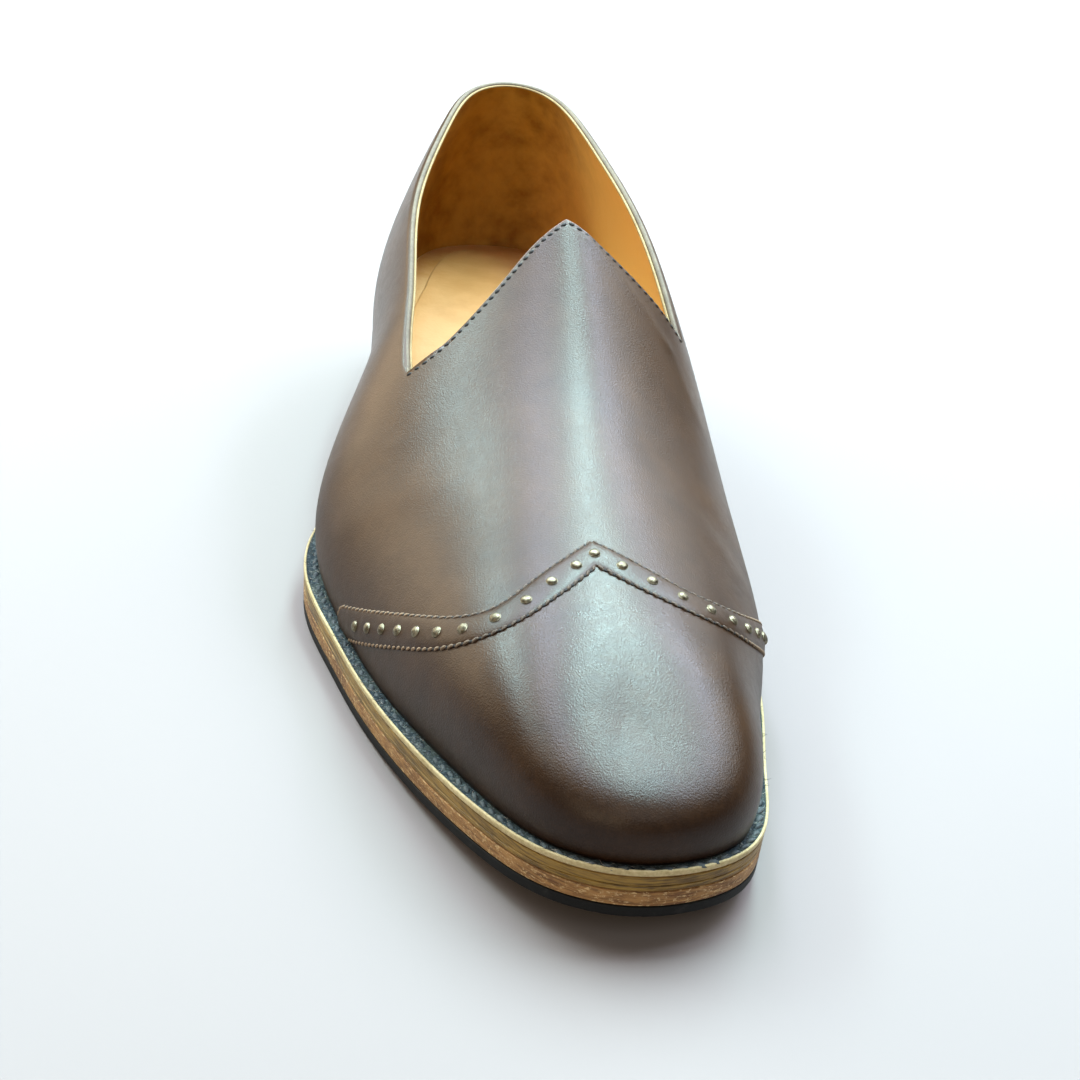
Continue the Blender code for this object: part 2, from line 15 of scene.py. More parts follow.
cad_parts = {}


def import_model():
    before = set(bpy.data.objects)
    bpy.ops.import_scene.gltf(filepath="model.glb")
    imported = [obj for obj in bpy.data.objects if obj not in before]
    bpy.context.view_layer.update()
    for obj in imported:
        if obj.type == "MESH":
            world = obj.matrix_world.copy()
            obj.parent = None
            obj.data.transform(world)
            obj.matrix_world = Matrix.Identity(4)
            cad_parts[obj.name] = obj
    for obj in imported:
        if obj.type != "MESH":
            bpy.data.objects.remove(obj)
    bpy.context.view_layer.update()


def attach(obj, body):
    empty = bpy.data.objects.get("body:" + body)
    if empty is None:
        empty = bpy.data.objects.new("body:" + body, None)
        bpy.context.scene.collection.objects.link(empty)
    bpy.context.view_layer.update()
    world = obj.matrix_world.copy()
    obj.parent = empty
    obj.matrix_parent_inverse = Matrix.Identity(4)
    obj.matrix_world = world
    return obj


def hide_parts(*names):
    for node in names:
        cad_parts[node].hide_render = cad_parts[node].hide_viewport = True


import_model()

MM = 0.001
LATERAL, MEDIAL = -1, 1

# ---- sizes of the last and the sole, mm ----
LAST_LENGTH = 292.0
SOLE_TOTAL = 10.4
HEEL_SEAT = 29.5
TOE_SPRING = 7.2
SEAT_FRONT = 38.0
BALL_BACK = 180.0
BALL_FRONT = 212.0
CENTRE_X = -4.04
CENTRE_S = 145.7
GAP = 0.25
WELT_THICK = 1.25
MIDSOLE_THICK = 3.0
OUTSOLE_THICK = 3.2
HALF_SOLE_THICK = 2.2
TOP_PIECE_THICK = 6.0
INSOLE_THICK = 3.5
SPINE_ENDS = (0.16, 0.12) # a layer's spine starts and ends this part of its length from its ends
BREAST = 64.0
BREAST_HOLLOW = 4.0
HALF_SOLE_BACK = 132.0
HALF_SOLE_BOW = 3.0
BACK_HEIGHT = 59.5
BACK_BEHIND = 6.0         # how far behind the heel's feather line the top line starts
TOP_LINE_DIP = 1.36
TOP_LINE_FULL = {LATERAL: 0.0, MEDIAL: 1.3}
PEAK = 131.0
NOTCH = {LATERAL: 158.0, MEDIAL: 139.5}
NOTCH_HEIGHT = {LATERAL: 41.2, MEDIAL: 42.4}
NOTCH_MIDDLE = (NOTCH[LATERAL] + NOTCH[MEDIAL]) / 2
TOE_X = 6.0

# ---- sizes of the finish, mm ----
LEATHER = 1.65            # outer leather of the wall
LINING = 0.70             # lining inside it
BAND_HEIGHT = 0.60
BAND_SHORT = {LATERAL: 2.2, MEDIAL: 0.0}      # how far each end stops above the welt
BAND_CORNER = 5.0         # rounding of its lateral end
BAND_MITRE = 11.0         # from the apex to where its lines no longer lean to the ridge
BAND_LIP = 0.06           # thickness of its edge
BAND_STEP = 0.7           # spacing of the points along it
BAND_TUCK = 0.35          # how far its underside sits in the leather
ROW_OFFSET = 3.4          # each stitch row from the middle of the band
STITCH_PITCH = 2.05
STITCH_END = 0.985        # no stitch is set past this q
TONGUE_PITCH = 2.2
TONGUE_ROW = 1.05         # stitch row from the edge of the tongue
STUD_RADIUS = 1.2
STUD_FIRST = {LATERAL: 5.6, MEDIAL: 6.2}    # from the stud at the apex to the next
STUD_STEP = {LATERAL: 7.05, MEDIAL: 6.7}     # between the others
STUD_END = 2.5            # from the last stud to the end of the band, at least
FOOTBED_Q = 0.952         # where the footbed meets the lining
FOOTBED_GAP = 0.35
PAD = (9.0, 172.0)        # the heel pad's first and last station
PAD_THICK = 1.1
PAD_SPINE = 26.0          # from each end of the pad to the spine of its mesh
CREAM = 0.55              # natural edge of the welt, seen from above
WELT_INNER = 7.0          # how far the welt runs in under the upper
CLOTH_ROWS = 15
WELT_STITCH = 3.1         # pitch of the stitches on the welt's cloth
WELT_ROW = 1.15           # their line, out from the feather line
WELT_FIRST = 70.0         # the station where they start
WELT_SINK = (0.30, 268.0, 14.0)     # how deep they sit in the cloth, ending at a station over a length
MERGE = 0.00001           # vertices this close are one, m

OUTLINE = [
    # station, lateral, medial
    (9, -20.2, 19.9),
    (42, -30.6, 30.3),
    (85, -35.0, 31.1),
    (125, -36.6, 28.8),
    (165, -49.8, 35.5),
    (200, -45.6, 41.6),
    (225, -38.3, 40.8),
    (252, -27.1, 35.1),
    (275, -16.2, 30.5),
    (287, -7.0, 22.0),
]
WELT_REACH = [
    # station, reach past the feather line
    (0, 2.5),
    (25, 2.0),
    (110, 2.0),
    (160, 3.9),
    (200, 3.1),
    (225, 2.9),
    (252, 3.4),
    (270, 2.9),
    (290, 1.9),
]
RIDGE = [
    # station, height over the feather line
    (30, 78.3),
    (60, 82.3),
    (100, 80.2),
    (128, 71.4),
    (150, 61.5),
    (175, 50.6),
    (200, 42.5),
    (225, 36.4),
    (240, 32.9),
    (255, 28.5),
    (270, 21.3),
]
RIDGE_SWAY = [
    # station, towards the medial side
    (30, 0.0),
    (90, 0.0),
    (140, 4.2),
    (205, 2.3),
    (240, 2.7),
    (270, 4.6),
]
RIB_REACH = [
    # foot station, ridge station
    (0, 30),
    (45, 55),
    (120, 122),
    (200, 197),
    (255, 243),
    (290, 270),
]
RIBS = [
    # station, rise of the wall, flatness of the top, lateral belly, medial belly
    (0, 0.34, 0.27, 8.0, 8.0),
    (30, 0.34, 0.27, 8.2, 7.0),
    (60, 0.34, 0.27, 12.0, 11.6),
    (140, 0.49, 0.46, 17.0, 30.2),
    (205, 0.42, 0.48, 3.6, 12.6),
    (255, 0.68, 0.65, 5.6, 4.4),
    (290, 0.74, 0.67, 4.0, 4.0),
]
TONGUE = {
    LATERAL: [
        # part of the way from the point to the notch, foot station, height up the rib
        (0.0, 131.0, 1.0),
        (0.16, 133.4, 0.940),
        (0.34, 137.9, 0.862),
        (0.52, 144.4, 0.787),
        (0.70, 151.0, 0.710),
        (0.86, 156.4, 0.622),
    ],
    MEDIAL: [
        (0.0, 131.0, 1.0),
        (0.16, 132.8, 0.920),
        (0.34, 135.4, 0.825),
        (0.52, 137.8, 0.710),
        (0.70, 138.8, 0.610),
        (0.86, 139.3, 0.540),
    ],
}
WING = {
    LATERAL: [
        # foot station, height up the rib
        (237.3, 1.0),
        (241.5, 0.933),
        (245.2, 0.837),
        (247.9, 0.741),
        (248.6, 0.628),
        (245.8, 0.505),
        (239.5, 0.393),
        (231.3, 0.303),
        (221.8, 0.213),
        (210.9, 0.115),
        (204.6, 0.060),
    ],
    MEDIAL: [
        (237.3, 1.0),
        (240.2, 0.925),
        (242.4, 0.828),
        (243.2, 0.724),
        (241.4, 0.603),
        (235.8, 0.450),
        (226.8, 0.310),
        (215.0, 0.165),
        (208.5, 0.060),
    ],
}
# Soft troughs and ridges of the leather.
CREASES = [
    # from station, from q, to station, to q, half width, height
    (135.0, 0.10, 150.0, 0.40, 1.7, 0.22),      # lining's edge shows through beside the tongue's edge
    (150.0, 0.40, 163.0, 0.52, 2.4, 0.10),
    (176.0, -0.70, 186.0, -0.34, 5.5, -0.16),
    (186.0, -0.72, 197.0, -0.40, 4.5, 0.12),
    (192.0, 0.30, 205.0, 0.62, 5.0, -0.14),
    (204.0, 0.34, 214.0, 0.66, 4.5, 0.10),
    (160.0, -0.62, 172.0, -0.50, 4.0, -0.12),
    (60.0, -0.92, 95.0, -0.86, 6.0, -0.20),
    (70.0, 0.90, 100.0, 0.84, 6.0, -0.20),
]
Q_SPAN = 62.0             # about how many mm one unit of q is
UNEVEN = (0.045, 24.0)    # height and size of the leather's unevenness
EDGE_ROUND = (0.42, 1.1)  # depth and width of the rounding of an open edge
ROW_TROUGH = (0.16, 0.5)  # depth and half width of the trough under the tongue's stitches
RIDGE_BLEND = 0.32        # how far from the ridge both sides blend, in q
RIDGE_FADE = (6.0, 16.0)  # the blend ends this far before the toe, over this length
BLEND_PARTS = ((-0.09, 0.16), (-0.045, 0.24), (0.0, 0.20), (0.045, 0.24), (0.09, 0.16))


# ---- the last ----
def spline(xs, ys):
    """Natural cubic spline through a table; returns a function."""
    xs = np.asarray(xs, float)
    ys = np.asarray(ys, float)
    n = len(xs)
    h = np.diff(xs)
    a = np.eye(n)
    b = np.zeros_like(ys)
    for i in range(1, n - 1):
        a[i, i - 1] = h[i - 1]
        a[i, i] = 2 * (h[i - 1] + h[i])
        a[i, i + 1] = h[i]
        b[i] = 6 * ((ys[i + 1] - ys[i]) / h[i] - (ys[i] - ys[i - 1]) / h[i - 1])
    m = np.linalg.solve(a, b)

    def at(x):
        x = np.clip(np.asarray(x, float), xs[0], xs[-1])
        i = np.clip(np.searchsorted(xs, x, side='right') - 1, 0, n - 2)
        d = x - xs[i]
        e = xs[i + 1] - x
        w = h[i]
        if ys.ndim > 1:
            d, e, w = d[..., None], e[..., None], w[..., None]
        curve = (m[i] * e ** 3 + m[i + 1] * d ** 3) / (6 * w)
        return curve + (ys[i] / w - m[i] * w / 6) * e + (ys[i + 1] / w - m[i + 1] * w / 6) * d

    return at


def unit(v):
    """Vectors at a length of one."""
    return v / np.linalg.norm(v, axis=-1, keepdims=True)


def table_line(table):
    """Spline through a table whose first column says where each row stands."""
    table = np.array(table, float)
    return spline(table[:, 0], table[:, 1] if table.shape[1] == 2 else table[:, 1:])


def between(x, xs, table):
    """Rows of a table at places between its own."""
    return np.stack([np.interp(x, xs, values) for values in np.transpose(table)], axis=-1)


def run_along(points):
    """Length along a line of points, from its first."""
    return np.concatenate([[0.0], np.cumsum(np.linalg.norm(np.diff(points, axis=0), axis=1))])


def ease(t):
    t = np.clip(t, 0, 1)
    return t * t * (3 - 2 * t)


def closed_outline():
    """Feather line as one smooth loop, split at heel and toe into a table for each side."""
    pts = [(0.0, 0.0)] + [(lat, s) for s, lat, med in OUTLINE] + [(TOE_X, LAST_LENGTH)]
    pts += [(med, s) for s, lat, med in reversed(OUTLINE)]
    loop = np.array(pts * 3 + pts[:1], float)
    step = np.sqrt(np.linalg.norm(np.diff(loop, axis=0), axis=1))
    knot = np.concatenate([[0.0], np.cumsum(step)])
    n = len(pts)
    dense = spline(knot, loop)(np.linspace(knot[n], knot[2 * n], 4001))[:-1]
    dense = np.roll(dense, -int(np.argmin(dense[:, 1])), axis=0)
    toe = int(np.argmax(dense[:, 1]))
    tangent = unit(np.roll(dense, -1, axis=0) - np.roll(dense, 1, axis=0))
    both = np.c_[dense, -tangent[:, 1], tangent[:, 0]]
    return {LATERAL: both[:toe + 1], MEDIAL: np.concatenate([both[toe:], both[:1]])[::-1]}


SIDES = closed_outline()
HEEL_S = SIDES[LATERAL][0, 1]
TOE_S = SIDES[LATERAL][-1, 1]
ridge_height = table_line(RIDGE)
ridge_sway = table_line(RIDGE_SWAY)
rib_reach = table_line(RIB_REACH)
rib_form = table_line(RIBS)
reach_of_welt = table_line(WELT_REACH)


def feather_z(s):
    """Height of the feather line over the floor: heel seat, shank, flat tread, toe spring."""
    s = np.asarray(s, float)
    back = ease((BALL_BACK - s) / (BALL_BACK - SEAT_FRONT))
    spring = np.clip((s - BALL_FRONT) / (LAST_LENGTH - BALL_FRONT), 0, 1.3) ** 1.8
    return SOLE_TOTAL + (HEEL_SEAT - SOLE_TOTAL) * back + TOE_SPRING * spring


def foot(side, s):
    """Feather line at a station: sideways, station, and its outward normal."""
    return between(s, SIDES[side][:, 1], SIDES[side])


def ridge(s):
    return np.stack([ridge_sway(s), s, feather_z(s) + ridge_height(s)], axis=-1)


def last_point(side, s, v):
    """Point of the last at a foot station and a height up its rib (0 feather, 1 ridge)."""
    s, v = np.broadcast_arrays(np.asarray(s, float), np.asarray(v, float))
    f = foot(side, s)
    p0 = np.stack([f[..., 0], f[..., 1], feather_z(f[..., 1])], axis=-1)
    reach = rib_reach(s)
    p3 = ridge(reach)
    middle = np.clip(reach, RIDGE[0][0] + 0.5, RIDGE[-1][0] - 0.5)
    along = ridge(middle + 0.5) - ridge(middle - 0.5)
    run = p3[..., :2] - p0[..., :2]
    fall = (run * along[..., :2]).sum(-1) * along[..., 2] / (along[..., :2] ** 2).sum(-1)
    form = rib_form(s)
    belly = form[..., 2] if side == LATERAL else form[..., 3]
    p1 = p0.copy()
    p1[..., :2] += f[..., 2:] * belly[..., None]
    p1[..., 2] += form[..., 0] * (p3[..., 2] - p0[..., 2])
    p2 = p3.copy()
    p2[..., :2] -= run * form[..., 1:2]
    p2[..., 2] -= fall * form[..., 1]
    w = v[..., None]
    bend = (1 - w) ** 3 * p0 + 3 * (1 - w) ** 2 * w * p1 + 3 * (1 - w) * w ** 2 * p2 + w ** 3 * p3
    return bend + np.array([0.0, 0.0, GAP])


def sided_skin(s, q):
    v = np.clip(1 - np.abs(q), 0, 1)
    return np.where((q < 0)[..., None], last_point(LATERAL, s, v), last_point(MEDIAL, s, v))


def skin(s, q):
    """Point of the last at a foot station; q runs from -1 at the lateral feather line,
    over 0 at the ridge, to 1 at the medial feather line. Both sides blend over the ridge."""
    s, q = np.broadcast_arrays(np.asarray(s, float), np.asarray(q, float))
    s = np.clip(s, HEEL_S, TOE_S)
    point = sided_skin(s, q)
    blend = ease(1 - np.abs(q) / RIDGE_BLEND) * ease((TOE_S - RIDGE_FADE[0] - s) / RIDGE_FADE[1])
    here = blend > 0
    if here.any():
        soft = sum(part * sided_skin(s[here], q[here] + step) for step, part in BLEND_PARTS)
        point[here] += blend[here][:, None] * (soft - point[here])
    return point


def skin_frame(s, q):
    """Slopes of the last along s and along q, and its outward normal."""
    s, q = np.broadcast_arrays(np.asarray(s, float), np.asarray(q, float))
    s0, s1 = np.clip(s - 0.4, HEEL_S, TOE_S), np.clip(s + 0.4, HEEL_S, TOE_S)
    side = np.where(q < 0, -1.0, 1.0)
    q0 = np.where(np.abs(q) > 0.98, side * 0.98 - 0.01, q - 0.01)
    q1 = np.where(np.abs(q) > 0.98, side * 0.98 + 0.01, q + 0.01)
    tight = (np.abs(q) < 0.02) & ((s > TOE_S - 3) | (s < HEEL_S + 1))
    q0 = np.where(tight, side * 0.02 - 0.01, q0)
    q1 = np.where(tight, side * 0.02 + 0.01, q1)
    q = np.where(tight, side * 0.02, q)
    along = (skin(s1, q) - skin(s0, q)) / (s1 - s0)[..., None]
    across = (skin(s, q1) - skin(s, q0)) / (q1 - q0)[..., None]
    return along, across, unit(np.cross(across, along))


def walk(s, q, heading, steps=8):
    """Slides points over the last along a heading, whose length is the way to go in mm."""
    s, q = np.array(s, float), np.array(q, float)
    length = np.linalg.norm(heading, axis=-1)[..., None] / steps
    for _ in range(steps):
        along, across, normal = skin_frame(s, q)
        flat = heading - (heading * normal).sum(-1)[..., None] * normal
        flat *= length / np.maximum(np.linalg.norm(flat, axis=-1)[..., None], 1e-9)
        aa, cc, ac = (along ** 2).sum(-1), (across ** 2).sum(-1), (along * across).sum(-1)
        fa, fc = (flat * along).sum(-1), (flat * across).sum(-1)
        whole = aa * cc - ac ** 2
        s = s + (fa * cc - fc * ac) / whole
        q = q + (fc * aa - fa * ac) / whole
    return s, q


def lifted(s, q, lift):
    """Point of the last moved out along its normal."""
    return skin(s, q) + skin_frame(s, q)[2] * np.asarray(lift, float)[..., None]


def world(p):
    """From the last's frame in mm (sideways, station, up) to the shoe's frame in metres."""
    p = np.asarray(p, float)
    return np.stack([p[..., 0] - CENTRE_X, CENTRE_S - p[..., 1], p[..., 2]], axis=-1) * MM


def turned(d):
    """A direction of the last's frame in the shoe's frame."""
    return np.asarray(d, float) * np.array([1.0, -1.0, 1.0])


def wall_top(side, s):
    """How far up its rib the wall of the quarter goes at a foot station."""
    back = feather_z(HEEL_S) + BACK_HEIGHT
    notch = feather_z(NOTCH[side]) + NOTCH_HEIGHT[side]
    v = np.linspace(0.25, 0.95, 400)
    out = []
    for one in np.atleast_1d(s):
        p = last_point(side, np.full_like(v, one), v)
        t = np.clip((p[:, 1] + BACK_BEHIND) / (NOTCH[side] + BACK_BEHIND), 0, 1)
        over = p[:, 2] - (back + (notch - back) * t ** (TOP_LINE_DIP + TOP_LINE_FULL[side] * t * t))
        k = int(np.argmax(over > 0))
        out.append(v[k - 1] + (v[k] - v[k - 1]) * over[k - 1] / (over[k - 1] - over[k]))
    return np.array(out)


def even_stations(first, last, count):
    """Stations between two ends, spaced evenly along the feather line."""
    s = np.linspace(first, last, 3000)
    run = sum(np.linalg.norm(np.diff(foot(side, s)[:, :2], axis=0), axis=1) for side in (LATERAL, MEDIAL))
    run = np.concatenate([[0.0], np.cumsum(run)])
    return np.interp(np.linspace(0, run[-1], count + 1), run, s)


# ---- mesh helpers ----
def add_sheet(bm, points, slot=0):
    """Grid laid over a table of points (columns, rows, 3), in metres."""
    columns, rows = points.shape[0] - 1, points.shape[1] - 1
    made = bmesh.ops.create_grid(bm, x_segments=columns, y_segments=rows, size=1.0)
    faces = set()
    for vert in made['verts']:
        i = round((vert.co.x + 1) / 2 * columns)
        j = round((vert.co.y + 1) / 2 * rows)
        vert.co = Vector(points[i, j])
        faces.update(vert.link_faces)
    for face in faces:
        face.material_index = slot
    return made['verts']


def finish_piece(name, bm, materials, sharp=None, weld=MERGE, recalc=True):
    """Welds a bmesh, turns its faces outwards and makes it a piece that rides on the shoe."""
    if weld:
        bmesh.ops.remove_doubles(bm, verts=bm.verts, dist=weld)
        bmesh.ops.dissolve_degenerate(bm, edges=bm.edges, dist=weld / 2)
    if recalc:
        bmesh.ops.recalc_face_normals(bm, faces=bm.faces)
    mesh = bpy.data.meshes.new(name)
    bm.to_mesh(mesh)
    bm.free()
    mesh.shade_smooth()
    if sharp:
        mesh.set_sharp_from_angle(angle=math.radians(sharp))
    for mat in materials:
        mesh.materials.append(mat)
    obj = bpy.data.objects.new(name, mesh)
    bpy.context.scene.collection.objects.link(obj)
    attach(obj, "root")
    return obj


def scatter(name, forms, places, materials):
    """One mesh that holds a copy of a small form at each matrix, the forms in turn."""
    bm = bmesh.new()
    for k, place in enumerate(places):
        start = len(bm.verts)
        bm.from_mesh(forms[k % len(forms)])
        bm.verts.ensure_lookup_table()
        bmesh.ops.transform(bm, matrix=place, verts=bm.verts[start:])
    return finish_piece(name, bm, materials, weld=None, recalc=False)


def form_mesh(name, bm):
    """Small form for scatter(), its faces turned outwards."""
    bmesh.ops.recalc_face_normals(bm, faces=bm.faces)
    mesh = bpy.data.meshes.new(name)
    bm.to_mesh(mesh)
    bm.free()
    return mesh


def place_matrix(point, along, normal, slant=0.0):
    """Matrix with X along a line and Z out of the surface, from the last's frame."""
    z = Vector(turned(normal)).normalized()
    x = Vector(turned(along))
    x = (x - z * x.dot(z)).normalized()
    turn = Matrix((x, z.cross(x), z)).transposed().to_4x4()
    return Matrix.Translation(Vector(world(point))) @ turn @ Matrix.Rotation(slant, 4, 'Z')


def roughness_of(points, scale, octaves=3, seed=0.0):
    """Smooth noise, about -1 to 1, at points given in mm."""
    flat = np.asarray(points, float).reshape(-1, 3) / scale + seed
    out = [noise.fractal(Vector(p), 1.0, 2.0, octaves, noise_basis='PERLIN_ORIGINAL') for p in flat]
    return np.array(out).reshape(np.asarray(points).shape[:-1])


# ---- upper: outer leather and lining ----
def relief(s, q):
    """Soft troughs and ridges of the leather, in mm out of the last."""
    total = np.zeros(np.broadcast(s, q).shape)
    for s0, q0, s1, q1, width, height in CREASES:
        ds, dq = s1 - s0, (q1 - q0) * Q_SPAN
        u, w = s - s0, (q - q0) * Q_SPAN
        t = np.clip((u * ds + w * dq) / (ds * ds + dq * dq), 0, 1)
        away = np.hypot(u - t * ds, w - t * dq)
        total += height * np.exp(-(away / width) ** 2)
    return total + UNEVEN[0] * roughness_of(skin(s, q), UNEVEN[1], 2)


def top_lines(side, n_back, n_front):
    """Foot stations from heel to toe, and how high up its rib the wall goes at each."""
    back = even_stations(HEEL_S, NOTCH_MIDDLE, n_back)
    front = even_stations(NOTCH_MIDDLE, TOE_S, n_front)
    back = HEEL_S + (back - HEEL_S) * (NOTCH[side] - HEEL_S) / (NOTCH_MIDDLE - HEEL_S)
    front = TOE_S - (TOE_S - front) * (TOE_S - NOTCH[side]) / (TOE_S - NOTCH_MIDDLE)
    top = wall_top(side, back)
    shared = top[-1] + (0.5 - top[-1]) * ease(np.linspace(0, 1, n_front + 1))
    return np.concatenate([back, front[1:]]), np.concatenate([top, shared[1:]])


def tongue_edge(side, notch_v, t):
    """Edge of the tongue from its point (t = 0) to the notch (t = 1), as foot station and q."""
    edge = TONGUE[side] + [(1.0, NOTCH[side], notch_v)]
    at = table_line(edge)(t)
    return at[:, 0], side * (1 - at[:, 1])


class Pattern:
    """Foot stations and q of the wall and the vamp on one side."""

    def __init__(self, side, n_back, n_tongue, n_front, n_wall, n_vamp):
        s, top = top_lines(side, n_back, n_front)
        rows = 1 - (1 - np.linspace(0, 1, n_wall + 1)) ** 1.5
        self.wall_s = np.repeat(s[:, None], n_wall + 1, axis=1)
        self.wall_q = side * (1 - top[:, None] * rows[None, :])
        t = np.linspace(0, 1, n_tongue + 1)[:-1]
        edge_s, edge_q = tongue_edge(side, top[n_back], t)
        edge_s = np.concatenate([edge_s, s[n_back:]])
        edge_q = np.concatenate([edge_q, side * (1 - top[n_back:])])
        ridge_s = np.concatenate([PEAK + (NOTCH_MIDDLE - PEAK) * t,
                                  even_stations(NOTCH_MIDDLE, TOE_S, n_front)])
        w = np.linspace(0, 1, n_vamp + 1)[None, :] ** 1.5
        self.vamp_s = edge_s[:, None] + (ridge_s - edge_s)[:, None] * w
        self.vamp_q = edge_q[:, None] * (1 - w)
        self.vamp_q[:, -1] = 0.0
        self.side, self.n_back, self.n_tongue = side, n_back, n_tongue

    def surfaces(self, lift, outer):
        """Wall and vamp at a lift; the outer face also has the leather's relief and edges."""
        wall, vamp = (self.wall_s, self.wall_q), (self.vamp_s, self.vamp_q)
        high = [np.full(s.shape, lift) for s, q in (wall, vamp)]
        if outer:
            from_top = self.edge_drop(wall[0][:, ::-1], wall[1][:, ::-1], self.n_back, False)
            high[0] = high[0] + relief(*wall) - from_top[:, ::-1]
            high[1] = high[1] + relief(*vamp) - self.edge_drop(*vamp, self.n_tongue, True)
        return lifted(*wall, high[0]), lifted(*vamp, high[1])

    def edge_drop(self, s, q, open_columns, stitched):
        """How far the surface falls to a rounded open edge, and into the row of stitches."""
        p = skin(s, q)
        away = np.concatenate([np.zeros((len(p), 1)), np.linalg.norm(np.diff(p, axis=1), axis=2)], axis=1)
        away = np.cumsum(away, axis=1)
        drop = EDGE_ROUND[0] * np.clip(1 - away / EDGE_ROUND[1], 0, 1) ** 2
        if stitched:
            drop = drop + ROW_TROUGH[0] * np.exp(-((away - TONGUE_ROW) / ROW_TROUGH[1]) ** 2)
        near = np.clip((open_columns - np.arange(len(p))) / (3.0 if stitched else 2.0), 0, 1)
        return drop * near[:, None]


def edge_heading(pattern, tongue):
    """Direction in the surface that points away from the leather along an open edge."""
    if tongue:
        s, q = pattern.vamp_s[:pattern.n_tongue + 1, 0], pattern.vamp_q[:pattern.n_tongue + 1, 0]
        sign = pattern.side
    else:
        s, q = pattern.wall_s[:pattern.n_back + 1, -1], pattern.wall_q[:pattern.n_back + 1, -1]
        sign = -pattern.side
    along, across, normal = skin_frame(s, q)
    out = np.cross(np.gradient(skin(s, q), axis=0), normal) * sign
    if tongue:
        out[0] = -along[0]
    return unit(out)


def rolled(outer, inner, heading, bulge, steps=8):
    """Half-round edge from an outer line to an inner line."""
    angle = np.linspace(0, math.pi, steps + 1)[None, :, None]
    middle, half = (outer + inner)[:, None] / 2, (outer - inner)[:, None] / 2
    return middle + half * np.cos(angle) + heading[:, None] * bulge * np.sin(angle)


def upper_shell(name, counts, outer_lift, inner_lift, bulge, materials, outer_relief):
    """Closed shell of the upper between two lifts. Slots: face, back, quarter edge, tongue edge."""
    bm = bmesh.new()
    faces, edges = {}, {}
    for side in (LATERAL, MEDIAL):
        pattern = Pattern(side, *counts)
        outer = pattern.surfaces(outer_lift, outer_relief)
        inner = pattern.surfaces(inner_lift, False)
        faces[side] = [outer[0], outer[1], inner[0], inner[1]]
        quarter, tongue = edge_heading(pattern, False), edge_heading(pattern, True)
        quarter[-1] = tongue[-1] = unit(quarter[-1] + tongue[-1])
        edges[side] = (pattern, quarter, tongue)
    n_back, n_tongue = counts[0], counts[1]
    for k in range(4):
        left, right = faces[LATERAL][k], faces[MEDIAL][k]
        left[-1] = right[-1] = (left[-1] + right[-1]) / 2
        if k % 2 == 0:
            left[0] = right[0] = (left[0] + right[0]) / 2
        else:
            crest = (left[:, -1] + right[:, -1]) / 2
            left[:, -1] = right[:, -1] = crest
            left[0] = right[0] = crest[0]
        slot = 0 if k < 2 else 1
        add_sheet(bm, world(np.concatenate([left, right[-2::-1]])), slot)
    for side in (LATERAL, MEDIAL):
        wall, vamp, wall_back, vamp_back = faces[side]
        pattern, quarter, tongue = edges[side]
        quarter[0] = (edges[LATERAL][1][0] + edges[MEDIAL][1][0]) / 2
        a = rolled(wall[:n_back + 1, -1], wall_back[:n_back + 1, -1], quarter, bulge)
        b = rolled(vamp[:n_tongue + 1, 0], vamp_back[:n_tongue + 1, 0], tongue, bulge)
        add_sheet(bm, world(a), 2)
        add_sheet(bm, world(b), 3)
        add_sheet(bm, world(np.stack([wall[:, 0], wall_back[:, 0]], axis=1)), 1)
    return finish_piece(name, bm, materials)


# ---- band, stitches and studs ----
def band_middle(side, tail=True):
    """Middle line of the band from the apex down, as lengths, foot stations and q."""
    table = np.array(WING[side], float)
    p = spline(np.linspace(0, 1, len(table)), table)(np.linspace(0, 1, 400))
    if tail:
        slope = (p[-1] - p[-20]) / (p[-20, 1] - p[-1, 1])
        p = np.concatenate([p, p[-1] + slope * np.linspace(0, p[-1, 1], 20)[1:, None]])
    q = side * (1 - p[:, 1])
    return run_along(skin(p[:, 0], q)), p[:, 0], q


def band_lines(side):
    """Lengths, foot stations and q down the middle of the band on one side, the heading across
    it, and the heading along the ridge at its apex."""
    run, s, q = band_middle(side)
    at = np.linspace(0, run[-1] - BAND_SHORT[side], int(run[-1] / BAND_STEP) + 1)
    s, q = np.interp(at, run, s), np.interp(at, run, q)
    along, across, normal = skin_frame(s, q)
    tangent = np.gradient(skin(s, q), axis=0)
    tangent[0] = skin(s[1], q[1]) - skin(s[0], q[0])
    return at, s, q, unit(np.cross(tangent, normal) * side), -unit(along[0])


def band_grid(offsets):
    """Foot station and q of the band's lines at these offsets, from the apex down each side.
    The headings lean over to the ridge at the apex, so both sides meet in a mitre."""
    made = {side: band_lines(side) for side in (LATERAL, MEDIAL)}
    stretch = np.mean([1 / (made[side][4] @ made[side][3][0]) for side in made])
    out = {}
    for side, (at, s, q, over, ridge_way) in made.items():
        lean = np.clip(1 - at / BAND_MITRE, 0, 1)[:, None]
        heading = over + lean * (ridge_way * stretch - over[0])
        reach = np.broadcast_to(np.asarray(offsets, float), (len(s), len(offsets)))
        reach = np.where(reach < 0, reach * (1 - 0.24 * lean), reach)
        if side == LATERAL:
            near_end = np.clip((at - at[-1] + BAND_CORNER) / BAND_CORNER, 0, 1)[:, None]
            reach = np.where(reach > 0, reach * np.sqrt(1 - 0.85 * near_end ** 2), reach)
        ways = heading[:, None, :] * reach[..., None]
        shape = reach.shape
        out[side] = walk(np.broadcast_to(s[:, None], shape), np.broadcast_to(q[:, None], shape), ways)
    return out


